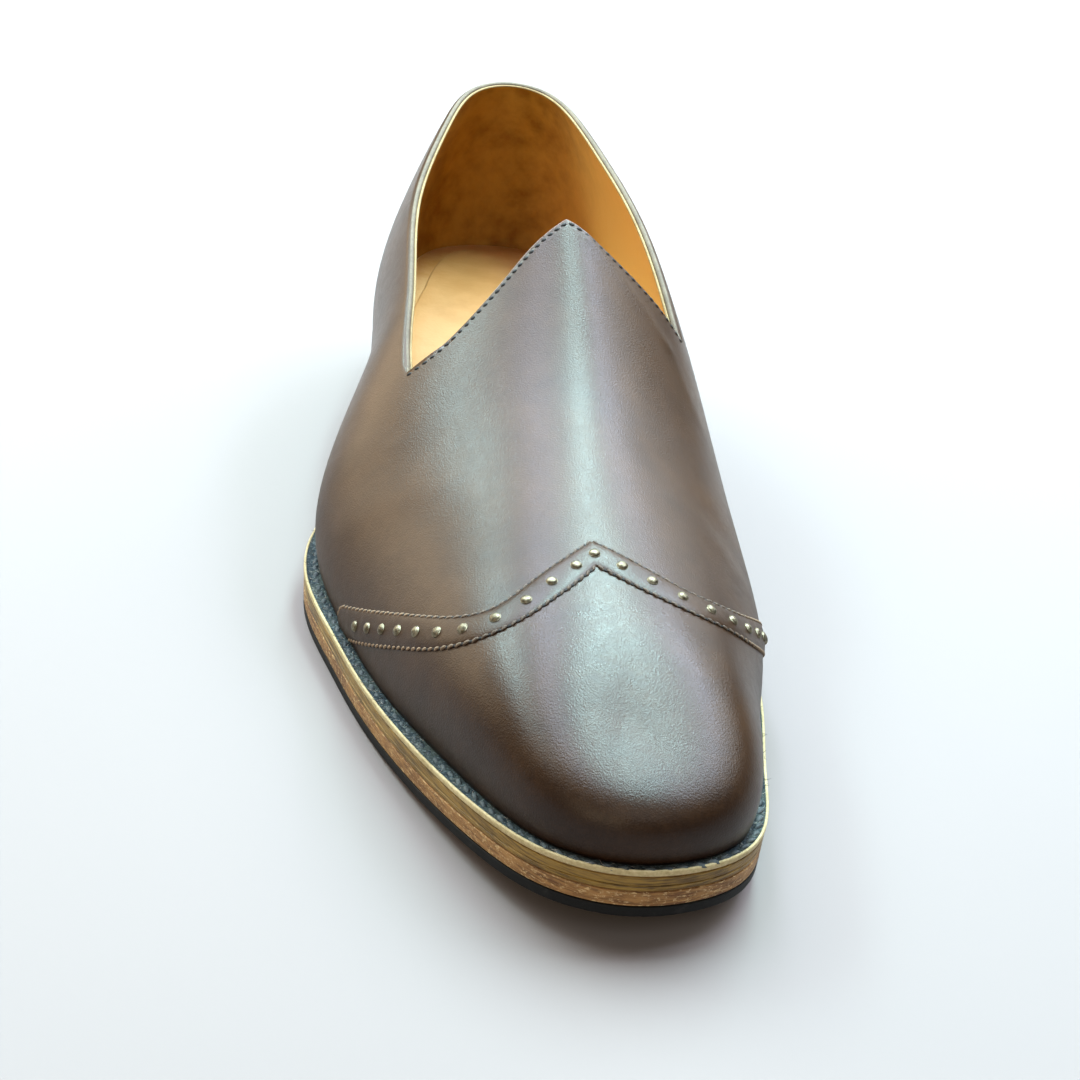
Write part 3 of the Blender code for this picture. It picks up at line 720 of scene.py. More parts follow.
def band_height(a):
    """Section of the band: tucked under at its edges, pinched at the stitches, full between."""
    a = np.abs(a)
    full = BAND_HEIGHT * np.sqrt(np.clip(1 - (a / (ROW_OFFSET + 0.15)) ** 2.6, 0, 1))
    tucked = BAND_LIP - 0.75 * (a - ROW_OFFSET + 0.05)
    return np.where(a > ROW_OFFSET - 0.05, tucked, np.maximum(full, BAND_LIP))


def wing_band(materials):
    offsets = np.array([-3.8, -3.6, -3.45, -3.35, -3.2, -3.0, -2.7, -2.3, -1.8, -1.2, -0.6, 0.0])
    offsets = np.concatenate([offsets, -offsets[-2::-1]])
    grid = band_grid(offsets)
    half = []
    for s, q in grid.values():
        high = np.broadcast_to(band_height(offsets), s.shape) + relief(s, q)
        high = high + 0.05 * roughness_of(skin(s, q), 3.5, 2) * (high > 0.2)
        half.append(lifted(s, q, high))
    half[0][0] = half[1][0] = (half[0][0] + half[1][0]) / 2
    top = np.concatenate([half[0][::-1], half[1][1:]])
    s, q = (np.concatenate([grid[LATERAL][k][::-1], grid[MEDIAL][k][1:]]) for k in (0, 1))
    under = lifted(s, q, np.full(s.shape, -BAND_TUCK))
    bm = bmesh.new()
    add_sheet(bm, world(top))
    add_sheet(bm, world(under))
    for edge in (0, -1):
        add_sheet(bm, world(np.stack([top[:, edge], under[:, edge]], axis=1)))
        add_sheet(bm, world(np.stack([top[edge], under[edge]], axis=1)))
    return finish_piece('wing_band_leather', bm, materials, sharp=60)


def stitch_form(length, width, height):
    """One stitch: a strand with pointed ends that dive into the leather."""
    bm = bmesh.new()
    bmesh.ops.create_uvsphere(bm, u_segments=8, v_segments=8, radius=0.5)
    bmesh.ops.rotate(bm, matrix=Matrix.Rotation(math.pi / 2, 3, 'Y'), verts=bm.verts)
    for vert in bm.verts:
        x = vert.co.x * 2
        vert.co.z -= 0.35 * x * x
    bmesh.ops.scale(bm, vec=Vector((length, width, height)) * MM, verts=bm.verts)
    return form_mesh('stitch', bm)


def along_line(s, q, pitch, first):
    """Places at a pitch along a line of the last: foot station, q and direction."""
    pos = skin(s, q)
    run = run_along(pos)
    at = np.arange(first, run[-1], pitch)
    ahead = between(at + 0.4, run, pos) - between(at - 0.4, run, pos)
    return np.interp(at, run, s), np.interp(at, run, q), ahead


def stitch_places(s, q, ways, lift, slant, rng):
    """Matrix of each stitch, a little uneven in turn and size."""
    normal = skin_frame(s, q)[2]
    pos = skin(s, q) + normal * lift
    places = []
    for p, way, n in zip(pos, ways, normal):
        turn = slant + rng.uniform(-0.05, 0.05)
        places.append(place_matrix(p, way, n, turn) @ Matrix.Scale(rng.uniform(0.94, 1.06), 4))
    return places


def band_rows(name, form, first, lift, slant, seed, materials):
    """One form repeated along both stitch rows of the band, at the stitches' pitch."""
    rng = random.Random(seed)
    places = []
    for side, (s, q) in band_grid([-ROW_OFFSET, ROW_OFFSET]).items():
        for k in (0, 1):
            line = along_line(s[:, k], q[:, k], STITCH_PITCH, first)
            keep = np.abs(line[1]) < STITCH_END
            places += stitch_places(*(part[keep] for part in line), lift, slant * side, rng)
    return scatter(name, [stitch_form(*form)], places, materials)


def tongue_row(side):
    """Line of the stitches inside the edge of the tongue, from the point to the notch."""
    notch_v = wall_top(side, [NOTCH[side]])[0]
    s, q = tongue_edge(side, notch_v, np.linspace(0, 1, 120))
    along, across, normal = skin_frame(s, q)
    inward = unit(-np.cross(np.gradient(skin(s, q), axis=0), normal) * side)
    lean = np.clip(1 - np.arange(len(s)) / 10.0, 0, 1)[:, None]
    forward = unit(along[0])
    heading = inward + lean * (forward / max(forward @ inward[2], 0.3) - inward[2])
    return walk(s, q, heading * TONGUE_ROW)


def tongue_stitches(materials):
    rng = random.Random(8)
    places = []
    for side in (LATERAL, MEDIAL):
        line = along_line(*tongue_row(side), TONGUE_PITCH, TONGUE_PITCH * 0.5)
        places += stitch_places(*line, 0.0, 0.10 * side, rng)
    return scatter('tongue_stitches', [stitch_form(1.62, 0.84, 0.50)], places, materials)


def stud_form():
    """Domed stud with a thin flange."""
    bm = bmesh.new()
    bmesh.ops.create_uvsphere(bm, u_segments=20, v_segments=12, radius=STUD_RADIUS * MM * 0.94)
    cut = bm.verts[:] + bm.edges[:] + bm.faces[:]
    bmesh.ops.bisect_plane(bm, geom=cut, plane_co=(0, 0, 0), plane_no=(0, 0, -1), clear_outer=True)
    bmesh.ops.scale(bm, vec=(1, 1, 0.56), verts=bm.verts)
    rim = [e for e in bm.edges if e.is_boundary]
    for out, down in ((STUD_RADIUS * 0.06, 0.0), (0.0, 0.18), (-0.1, 0.25)):
        made = bmesh.ops.extrude_edge_only(bm, edges=rim)
        verts = [v for v in made['geom'] if isinstance(v, bmesh.types.BMVert)]
        for vert in verts:
            flat = Vector((vert.co.x, vert.co.y, 0)).normalized()
            vert.co += flat * out * MM - Vector((0, 0, down * MM))
        rim = [e for e in made['geom'] if isinstance(e, bmesh.types.BMEdge) and e.is_boundary]
    bmesh.ops.holes_fill(bm, edges=rim, sides=0)
    return form_mesh('stud', bm)


def stud_line():
    """Foot station and q of each stud: one at the apex, the rest down both sides."""
    out = [(WING[LATERAL][0][0], 0.0)]
    for side in (LATERAL, MEDIAL):
        run, s, q = band_middle(side, tail=False)
        at = STUD_FIRST[side]
        while at < run[-1] - STUD_END:
            out.append((np.interp(at, run, s), np.interp(at, run, q)))
            at += STUD_STEP[side]
    return np.array(out)


def studs(materials):
    rng = random.Random(3)
    line = stud_line()
    along, across, normal = skin_frame(line[:, 0], line[:, 1])
    pos = skin(line[:, 0], line[:, 1]) + normal * (BAND_HEIGHT + 0.10)
    places = []
    for p, a, n in zip(pos, along, normal):
        tip = Vector((rng.uniform(-0.06, 0.06), rng.uniform(-0.06, 0.06), 1)).normalized()
        lean = Vector((0, 0, 1)).rotation_difference(tip).to_matrix().to_4x4()
        places.append(place_matrix(p, a, n, rng.uniform(0, 3)) @ lean)
    return scatter('studs', [stud_form()], places, materials)


# ---- welt and sole ----
def edge_point(side, s, reach):
    """Point of a layer's edge: the feather line moved outwards."""
    f = foot(side, s)
    return f[..., :2] + f[..., 2:] * np.asarray(reach)[..., None]


def bowed(start, end, bow, count):
    """Points inside a shallow arc from one point to another."""
    u = np.linspace(0, 1, count + 2)[1:-1, None]
    line = start + (end - start) * u
    line[:, 1] += bow * 4 * (u * (1 - u))[:, 0]
    return line


def ring_of(first, last, inset, bow_back=0.0, bow_front=0.0, count=240):
    """Closed loop round a layer, with the point on its spine that each edge point faces."""
    s = even_stations(first, last, count)
    reach = reach_of_welt(s) - inset
    lateral = edge_point(LATERAL, s, reach)
    medial = edge_point(MEDIAL, s, reach)
    middle = (lateral + medial) / 2
    span = last - first
    spine = middle.copy()
    spine[:, 1] = np.clip(middle[:, 1], first + SPINE_ENDS[0] * span, last - SPINE_ENDS[1] * span)
    spine[:, 0] = np.interp(spine[:, 1], middle[:, 1], middle[:, 0])
    loop, hub = lateral, spine
    if last < TOE_S - 1:
        line = bowed(lateral[-1], medial[-1], -bow_front, 40)
        loop = np.concatenate([loop, line, medial[::-1]])
        hub = np.concatenate([hub, np.repeat(spine[-1:], len(line), axis=0), spine[::-1]])
    else:
        loop = np.concatenate([loop, medial[-2::-1]])
        hub = np.concatenate([hub, spine[-2::-1]])
    if first > HEEL_S + 1:
        line = bowed(medial[0], lateral[0], -bow_back, 40)
        loop = np.concatenate([loop, line, loop[:1]])
        hub = np.concatenate([hub, np.repeat(spine[:1], len(line) + 1, axis=0)])
    return loop, hub


def below(depth):
    """Height of a face that lies a depth under the feather line."""
    return lambda s: feather_z(s) - depth


def level(z):
    return lambda s: np.full_like(s, z)


def layer(name, ring, top, bottom, profile, materials, roundness=0.25):
    """Closed layer of the sole. The profile gives how far its side is in from the ring
    at each part of the way down. Slots: top, side, bottom."""
    loop, hub = ring
    out = unit(loop - hub)
    thick = float(np.mean(top(loop[:, 1]) - bottom(loop[:, 1])))
    corner = roundness / thick
    rows = [(corner * (1 - math.cos(a)), profile[0][1] + roundness * (1 - math.sin(a)))
            for a in np.linspace(0, math.pi / 2, 4)]
    rows += [(t, inset) for t, inset in profile if corner < t < 1 - corner]
    rows += [(1 - corner * (1 - math.sin(a)), profile[-1][1] + roundness * (1 - math.cos(a)))
             for a in np.linspace(0, math.pi / 2, 4)]
    side = []
    for t, inset in rows:
        flat = loop - out * inset
        high = top(flat[:, 1]) * (1 - t) + bottom(flat[:, 1]) * t
        side.append(np.c_[flat, high])
    side = np.stack(side, axis=1)
    bm = bmesh.new()
    add_sheet(bm, world(side), 1)
    for edge, height, slot in ((side[:, 0], top, 0), (side[:, -1], bottom, 2)):
        flat = np.stack([edge[:, :2] + (hub - edge[:, :2]) * w for w in np.linspace(0, 1, 7)], axis=1)
        face = np.concatenate([flat, height(flat[..., 1])[..., None]], axis=-1)
        face[:, 0] = edge
        add_sheet(bm, world(face), slot)
    return finish_piece(name, bm, materials, sharp=50)


def welt(materials):
    """Strip all round: rough cloth on top, a rounded natural edge outside it."""
    s = even_stations(HEEL_S, TOE_S, 640)
    reach = reach_of_welt(s)
    rows = [(-WELT_INNER + (reach - CREAM + WELT_INNER) * t, 0.0) for t in np.linspace(0, 1, CLOTH_ROWS)]
    # The natural edge: how far each line lies in from the outermost one, and its height.
    rows += [(reach - inward, lift) for inward, lift in (
        (CREAM - 0.08, 0.08), (0.34, 0.10), (0.12, 0.02), (0.02, -0.14), (0.0, -0.36), (0.0, -0.95),
        (0.06, -1.15), (0.22, -WELT_THICK))]
    loops = []
    for side in (LATERAL, MEDIAL):
        line = []
        for out, lift in rows:
            flat = edge_point(side, s, np.broadcast_to(out, s.shape))
            line.append(np.c_[flat, feather_z(flat[:, 1]) + lift])
        loops.append(np.stack(line, axis=1))
    whole = np.concatenate([loops[0], loops[1][-2::-1]])
    cloth = whole[:, :CLOTH_ROWS]
    rough = 0.16 * roughness_of(cloth, 1.5, 3) + 0.10 * roughness_of(cloth, 4.0, 2, 9.0)
    rough[:, 0] = rough[:, -1] = 0.0
    rough[-1] = rough[0]
    cloth[..., 2] += np.clip(rough, -0.25, 0.3) - 0.05
    whole[-1] = whole[0]
    foot_in = whole[:, 0].copy()
    foot_in[:, 2] = feather_z(foot_in[:, 1]) - WELT_THICK
    bm = bmesh.new()
    add_sheet(bm, world(cloth), 0)
    add_sheet(bm, world(whole[:, CLOTH_ROWS - 1:]), 1)
    add_sheet(bm, world(np.stack([whole[:, -1], foot_in, whole[:, 0]], axis=1)), 1)
    return finish_piece('welt_strip', bm, materials)


def welt_places():
    """Places of the welt's stitches on both sides, with their directions."""
    out = []
    for side in (LATERAL, MEDIAL):
        s = even_stations(WELT_FIRST, TOE_S, 1500)
        flat = edge_point(side, s, np.full_like(s, WELT_ROW))
        p = np.c_[flat, feather_z(s)]
        run = run_along(p)
        from_toe = WELT_STITCH / 2 if side == MEDIAL else WELT_STITCH
        at = np.arange(run[-1] - from_toe, 0, -WELT_STITCH)
        at = at[at > 1]
        point = between(at, run, p)
        ahead = (between(at + 0.5, run, p) - point) * -side
        out += list(zip(point, ahead))
    return out


def welt_stitches(materials):
    """Row of stitches in the cloth; they stand higher round the toe."""
    rng = random.Random(12)
    up = np.array([0.0, 0.0, 1.0])
    places = []
    deep, station, over = WELT_SINK
    for point, ahead in welt_places():
        spot = point + up * (rng.uniform(0.08, 0.2) - deep * ease((station - point[1]) / over))
        places.append(place_matrix(spot, ahead, up, -0.30 + rng.uniform(-0.12, 0.12))
                      @ Matrix.Scale(rng.uniform(0.88, 1.12), 4))
    return scatter('welt_stitches', [stitch_form(2.9, 1.25, 0.8)], places, materials)


def hair_form(seed):
    """A thin curled fibre lying on the ground."""
    rng = random.Random(seed)
    bm = bmesh.new()
    bend = rng.uniform(-0.9, 0.9)
    points = []
    for t in np.linspace(-0.5, 0.5, 6):
        y = bend * (t * t - 0.08) + rng.uniform(-0.03, 0.03)
        points.append((t, y, 0.10 + 0.35 * abs(t) * rng.random()))
    ring = []
    for x, y, z in points:
        thin = 0.030 * (1.1 - abs(x) * 1.6)
        ring.append([(x, y + thin * math.cos(a), z + thin * math.sin(a))
                     for a in np.linspace(0, 2 * math.pi, 5)])
    add_sheet(bm, np.array(ring) * MM)
    bmesh.ops.remove_doubles(bm, verts=bm.verts, dist=MERGE / 20)
    bmesh.ops.holes_fill(bm, edges=[e for e in bm.edges if e.is_boundary], sides=0)
    return form_mesh('fibre', bm)


def welt_fibres(name, count, seed, materials, longest):
    """Loose fibres over the cloth of the welt."""
    rng = random.Random(seed)
    forms = [hair_form(seed + k) for k in range(6)]
    stations = even_stations(HEEL_S, TOE_S, 2000)
    places = []
    for _ in range(count):
        side = rng.choice((LATERAL, MEDIAL))
        s = stations[rng.randrange(len(stations))]
        reach = rng.uniform(0.3, float(reach_of_welt(s)) - CREAM * rng.uniform(0.1, 1.2))
        flat = edge_point(side, s, reach)
        f = foot(side, s)
        spot = np.array([flat[0], flat[1], float(feather_z(flat[1])) + 0.05])
        way = np.array([-f[3], f[2], 0.0])
        turn = rng.uniform(-1.1, 1.1) if rng.random() < 0.7 else rng.uniform(-3, 3)
        size = rng.uniform(0.45, 1.0) * longest
        places.append(place_matrix(spot, way, (0.0, 0.0, 1.0), turn) @ Matrix.Scale(size, 4))
    return scatter(name, forms, places, materials)


def footbed_sides():
    """Both long edges of the footbed, lateral and medial, as sideways places and stations."""
    s = even_stations(HEEL_S, TOE_S, 150)
    return [lifted(s, np.full_like(s, side * FOOTBED_Q), -LEATHER - LINING - FOOTBED_GAP)[:, :2]
            for side in (LATERAL, MEDIAL)]


def insole_sock(materials):
    """Footbed that fits the lining, softly rounded at its edge."""
    rows = footbed_sides()
    middle = (rows[0] + rows[1]) / 2
    spine = middle.copy()
    spine[:, 1] = np.clip(middle[:, 1], 45, 255)
    spine[:, 0] = np.interp(spine[:, 1], middle[:, 1], middle[:, 0])
    for row in rows:
        row[0], row[-1] = middle[0], middle[-1]
    loop = np.concatenate([rows[0], rows[1][-2::-1]])
    hub = np.concatenate([spine, spine[-2::-1]])
    return layer('insole_sock', (loop, hub), below(-GAP - INSOLE_THICK), below(-GAP),
                 [(0, 0.0), (0.4, 0.0), (1, 0.6)], materials, roundness=0.6)


def heel_pad(materials):
    """Padded oval on the footbed, from the heel to under the tongue."""
    first, last = PAD
    rows = footbed_sides()
    stations, centres = rows[0][:, 1], (rows[0] + rows[1])[:, 0] / 2
    angle = np.linspace(0, 2 * math.pi, 200)
    y = (first + last) / 2 - (last - first) / 2 * np.sign(np.cos(angle)) * np.abs(np.cos(angle)) ** 0.85
    left, right = (np.interp(np.maximum(y, 45), row[:, 1], row[:, 0]) for row in rows)
    wide = (right - left) / 2 * np.interp(y, (first, last), (0.80, 0.93))
    middle = np.interp(np.maximum(y, 14), stations, centres)
    x = middle + wide * np.sign(np.sin(angle)) * np.abs(np.sin(angle)) ** 0.62
    loop = np.stack([x, y], axis=1)
    loop[-1] = loop[0]
    spine = np.clip(y, first + PAD_SPINE, last - PAD_SPINE)
    hub = np.stack([np.interp(spine, stations, centres), spine], axis=1)
    top = -GAP - INSOLE_THICK
    return layer('heel_pad', (loop, hub), below(top - PAD_THICK), below(top + 0.3),
                 [(0, 0.0), (0.5, 0.0), (1, 0.1)], materials, roundness=0.8)


def steps(depths, inset, taper, groove, soft=0.03):
    """Profile of a side for layer(), with grooves at some parts of the way down."""
    out = [(float(t), inset + taper * float(t)) for t in np.linspace(0, 1, 14)]
    for at in depths:
        out = [row for row in out if abs(row[0] - at) > 2.2 * soft]
        for shift, depth in ((-2 * soft, 0), (-soft, 0.5), (0, 1), (soft, 0.5), (2 * soft, 0)):
            out.append((at + shift, inset + taper * at + groove * depth))
    return sorted(out)


# ---- materials ----
class Look:
    """One material under construction."""

    def __init__(self, name, **constants):
        self.mat = bpy.data.materials.new(name)
        self.mat.use_nodes = True
        self.tree = self.mat.node_tree
        self.shader = self.tree.nodes['Principled BSDF']
        for key, value in constants.items():
            self.shader.inputs[key.replace('_', ' ')].default_value = value
        self.coords = self.add('ShaderNodeTexCoord').outputs['Object']

    def add(self, kind, values=None, **settings):
        node = self.tree.nodes.new(kind)
        for key, value in settings.items():
            setattr(node, key, value)
        for key, value in (values or {}).items():
            if isinstance(value, bpy.types.NodeSocket):
                self.tree.links.new(value, node.inputs[key])
            else:
                node.inputs[key].default_value = value
        return node

    def stretched(self, x, y, z):
        return self.add('ShaderNodeMapping', {'Vector': self.coords, 'Scale': (x, y, z)}).outputs[0]

    def noise(self, size, detail=3.0, rough=0.5, warp=0.0, vector=None):
        """Noise whose features are about this many mm across."""
        values = {'Vector': vector or self.coords, 'Scale': 1000.0 / size, 'Detail': detail,
                  'Roughness': rough, 'Distortion': warp}
        return self.add('ShaderNodeTexNoise', values).outputs['Fac']

    def cells(self, size, feature='F1', vector=None):
        values = {'Vector': vector or self.coords, 'Scale': 1000.0 / size}
        return self.add('ShaderNodeTexVoronoi', values, feature=feature).outputs['Distance']

    def maths(self, operation, a, b=0.0, clamp=False):
        return self.add('ShaderNodeMath', {0: a, 1: b}, operation=operation, use_clamp=clamp).outputs[0]

    def spread(self, value, low, high, to_low=0.0, to_high=1.0):
        values = {'Value': value, 'From Min': low, 'From Max': high, 'To Min': to_low, 'To Max': to_high}
        return self.add('ShaderNodeMapRange', values, interpolation_type='SMOOTHSTEP').outputs['Result']

    def sum_of(self, a, weight_a, b, weight_b):
        return self.maths('ADD', self.maths('MULTIPLY', a, weight_a), self.maths('MULTIPLY', b, weight_b))

    def mixed(self, fac, a, b):
        a = (*a, 1.0) if isinstance(a, tuple) else a
        b = (*b, 1.0) if isinstance(b, tuple) else b
        node = self.add('ShaderNodeMix', {0: fac, 6: a, 7: b}, data_type='RGBA')
        return node.outputs[2]

    def shade(self, value, low, high, a, b):
        """One colour up to the low value, another from the high value, and softly between."""
        return self.mixed(self.spread(value, low, high), a, b)

    def axis(self, k):
        return self.add('ShaderNodeSeparateXYZ', {0: self.coords}).outputs[k]

    def bumped(self, height, strength, distance, under=None):
        values = {'Height': height, 'Strength': strength, 'Distance': distance * MM}
        if under:
            values['Normal'] = under
        return self.add('ShaderNodeBump', values).outputs[0]

    def wear(self, colour=None, roughness=None, normal=None):
        for key, value in (('Base Color', colour), ('Roughness', roughness), ('Normal', normal)):
            if isinstance(value, tuple):
                self.shader.inputs[key].default_value = (*value, 1.0)
            elif isinstance(value, float):
                self.shader.inputs[key].default_value = value
            elif value:
                self.tree.links.new(value, self.shader.inputs[key])
        return self.mat


def dark_calf(name, dark, light, rough_low, rough_high, seam=False):
    """Burnished calf: mottled dye, fine pebbled grain, darker towards the toe, and painted shade that
    darkens it low on the wall towards the welt.
    """
    look = Look(name, Specular_IOR_Level=0.24)
    broad = look.noise(34.0, 3.0, 0.55, 0.4)
    patchy = look.noise(7.0, 4.0, 0.6)
    speckle = look.noise(1.1, 3.0, 0.6)
    forward = look.spread(look.axis(1), -0.15, -0.02, 0.0, 1.0)
    # Painted shade: the tone is darkened low on the wall, towards the welt.
    low = look.spread(look.axis(2), 0.012, 0.045, 0.0, 1.0)
    tone = look.maths('MULTIPLY', look.spread(broad, 0.3, 0.7), 0.45)
    tone = look.maths('ADD', tone, look.maths('MULTIPLY', forward, 0.45))
    tone = look.maths('MULTIPLY', tone, look.spread(low, 0.0, 1.0, 0.55, 1.0))
    tone = look.maths('ADD', tone, look.spread(patchy, 0.35, 0.7, -0.10, 0.12))
    tone = look.maths('ADD', tone, look.spread(speckle, 0.4, 0.7, -0.06, 0.10), clamp=True)
    colour = look.mixed(tone, dark, light)
    pits = look.cells(0.33, 'SMOOTH_F1', look.stretched(1.0, 0.85, 1.0))
    pebbles = look.noise(0.31, 2.0, 0.5)
    wrinkle = look.noise(4.5, 4.0, 0.6, 0.6)
    normal = look.bumped(wrinkle, 0.06, 0.20)
    normal = look.bumped(look.sum_of(pits, 0.6, pebbles, 0.7), 0.62, 0.09, normal)
    if seam:
        x = look.maths('ABSOLUTE', look.maths('ADD', look.axis(0), CENTRE_X * MM))
        back = look.maths('GREATER_THAN', look.axis(1), 0.1)
        line = look.maths('MULTIPLY', look.spread(x, 0.0002, 0.0007, 1.0, 0.0), back)
        normal = look.bumped(look.maths('MULTIPLY', line, -1.0), 1.0, 0.5, normal)
        colour = look.mixed(look.maths('MULTIPLY', line, 0.7), colour, dark)
    rough = look.spread(look.noise(2.4, 4.0, 0.65), 0.3, 0.7, rough_low, rough_high)
    rough = look.maths('ADD', rough, look.spread(look.axis(2), 0.016, 0.046, 0.16, 0.0))
    rough = look.maths('ADD', rough, look.spread(look.axis(1), -0.115, -0.07, -0.06, 0.0))
    return look.wear(colour, rough, normal)


def cut_edge(name, dark, light):
    """Raw or painted cut edge of leather."""
    look = Look(name, Specular_IOR_Level=0.3)
    fine = look.noise(0.7, 4.0, 0.65)
    broad = look.noise(9.0, 3.0, 0.6)
    colour = look.shade(look.sum_of(fine, 0.6, broad, 0.5), 0.35, 0.75, dark, light)
    return look.wear(colour, 0.62, look.bumped(fine, 0.5, 0.12))


def tan_lining(name, dark, light, size=0.5, inner=None):
    """Tan leather; an optional paler colour is painted light on the inner side of the foot."""
    look = Look(name, Specular_IOR_Level=0.3)
    broad = look.noise(40.0, 3.0, 0.6)
    patchy = look.noise(6.0, 4.0, 0.6)
    colour = look.shade(look.sum_of(broad, 0.6, patchy, 0.4), 0.35, 0.65, dark, light)
    # Painted light: the lit medial inner wall is shown as a paler colour.
    if inner:
        reach = look.maths('ADD', look.axis(0), look.maths('MULTIPLY', patchy, 0.008))
        colour = look.shade(reach, 0.012, 0.036, colour, inner)
    normal = look.bumped(look.noise(9.0, 4.0, 0.6), 0.4, 0.4)
    return look.wear(colour, 0.55, look.bumped(look.cells(size, 'SMOOTH_F1'), 0.4, 0.06, normal))


def rough_cloth(name):
    """Distressed dark cloth of the welt: uneven threads, paler where its clumps and threads stand
    highest.
    """
    look = Look(name, Specular_IOR_Level=0.25)
    clumps = look.noise(2.2, 5.0, 0.7, 1.0)
    threads = look.noise(0.65, 4.0, 0.75, 0.5)
    hue = look.noise(5.0, 4.0, 0.7)
    colour = look.shade(hue, 0.42, 0.58, (0.016, 0.028, 0.036), (0.040, 0.052, 0.048))
    colour = look.shade(threads, 0.50, 0.68, colour, (0.15, 0.19, 0.19))
    colour = look.shade(clumps, 0.58, 0.74, colour, (0.27, 0.27, 0.22))
    height = look.maths('ADD', clumps, look.maths('MULTIPLY', threads, 0.6))
    return look.wear(colour, 0.85, look.bumped(height, 0.9, 0.5))


def layered_leather(name, dark, light, along=6.0, rough=0.6, flecks=None):
    """Cut edge of sole leather: fibres that run with the layer."""
    look = Look(name, Specular_IOR_Level=0.35)
    fibre = look.noise(1.0, 4.0, 0.7, 0.3, look.stretched(1.0 / along, 1.0 / along, 2.6))
    broad = look.noise(14.0, 4.0, 0.6)
    colour = look.shade(look.sum_of(fibre, 0.7, broad, 0.35), 0.42, 0.62, dark, light)
    if flecks:
        spots = look.noise(0.8, 3.0, 0.7, 0.4, look.stretched(0.7, 0.7, 1.6))
        colour = look.shade(spots, 0.53, 0.67, colour, flecks)
    return look.wear(colour, rough, look.bumped(fibre, 0.6, 0.25))


def thread(name, dark, light, painted_strand_light=None):
    """Twisted thread; an optional paler colour is painted light on its strands where it lies lower on the
    shoe.
    """
    look = Look(name, Specular_IOR_Level=0.3)
    twist = look.noise(0.35, 3.0, 0.6)
    colour = look.shade(twist, 0.35, 0.7, dark, light)
    # Painted light: the strands low on the shoe are made paler.
    if painted_strand_light:
        low = look.maths('MULTIPLY', look.spread(look.axis(2), 0.028, 0.040, 1.0, 0.0),
                         look.spread(twist, 0.25, 0.6, 0.4, 1.0))
        colour = look.mixed(low, colour, painted_strand_light)
    return look.wear(colour, 0.7, look.bumped(twist, 0.7, 0.12))


def aged_metal(name):
    look = Look(name, Metallic=1.0)
    patchy = look.noise(0.8, 4.0, 0.6)
    colour = look.shade(patchy, 0.35, 0.7, (0.085, 0.070, 0.045), (0.27, 0.235, 0.165))
    rough = look.spread(patchy, 0.3, 0.7, 0.42, 0.55)
    return look.wear(colour, rough, look.bumped(patchy, 0.5, 0.08))


def black_rubber(name, tread=False):
    """Matt rubber with dust in it; the tread has a fine lozenge pattern."""
    look = Look(name, Specular_IOR_Level=0.15)
    dust = look.noise(3.0, 5.0, 0.7)
    colour = look.shade(dust, 0.5, 0.8, (0.008, 0.008, 0.008), (0.024, 0.023, 0.021))
    normal = look.bumped(look.noise(0.5, 3.0, 0.6), 0.4, 0.08)
    if tread:
        lozenge = look.add('ShaderNodeMapping', {'Vector': look.coords, 'Rotation': (0, 0, math.pi / 4)})
        parts = look.add('ShaderNodeSeparateXYZ', {0: lozenge.outputs[0]})
        waves = []
        for k in (0, 1):
            wave = look.maths('SINE', look.maths('MULTIPLY', parts.outputs[k], 2 * math.pi / 0.0042))
            waves.append(look.spread(wave, -0.98, -0.75))
        normal = look.bumped(look.maths('MULTIPLY', waves[0], waves[1]), 1.0, 0.6, normal)
    return look.wear(colour, 0.62, normal)


def plain_floor(name):
    look = Look(name, Specular_IOR_Level=0.2)
    broad = look.noise(300.0, 2.0, 0.5)
    return look.wear(look.shade(broad, 0.3, 0.7, (0.218, 0.188, 0.180), (0.226, 0.195, 0.187)), 0.8)


# ---- the shoe ----
calf = dark_calf('upper_calf', (0.0175, 0.0066, 0.0021), (0.050, 0.0225, 0.0085), 0.30, 0.35, seam=True)
band_calf = dark_calf('band_calf', (0.019, 0.0075, 0.0026), (0.049, 0.0225, 0.0088), 0.30, 0.40)
quarter_edge = cut_edge('quarter_cut_edge', (0.080, 0.060, 0.040), (0.165, 0.128, 0.082))
tongue_rim = cut_edge('tongue_cut_edge', (0.15, 0.10, 0.085), (0.29, 0.215, 0.19))
flesh = cut_edge('flesh_side', (0.10, 0.06, 0.03), (0.16, 0.10, 0.06))
# The lining's last colour is painted light on its medial inner wall.
lining = tan_lining('tan_lining', (0.205, 0.080, 0.0015), (0.445, 0.225, 0.028), 0.5, (0.77, 0.42, 0.100))
lining_edge = cut_edge('lining_edge', (0.21, 0.135, 0.050), (0.33, 0.245, 0.110))
sock = tan_lining('sock_leather', (0.40, 0.19, 0.045), (0.50, 0.29, 0.12), 0.8)
pad_leather = tan_lining('pad_leather', (0.385, 0.190, 0.055), (0.46, 0.243, 0.085), 0.8)
sock_edge = cut_edge('sock_edge', (0.42, 0.28, 0.12), (0.60, 0.42, 0.20))
# The band thread's last colour is painted light on its strands low on the shoe.
band_thread = thread('band_thread', (0.040, 0.028, 0.020), (0.140, 0.100, 0.072), (0.24, 0.160, 0.100))
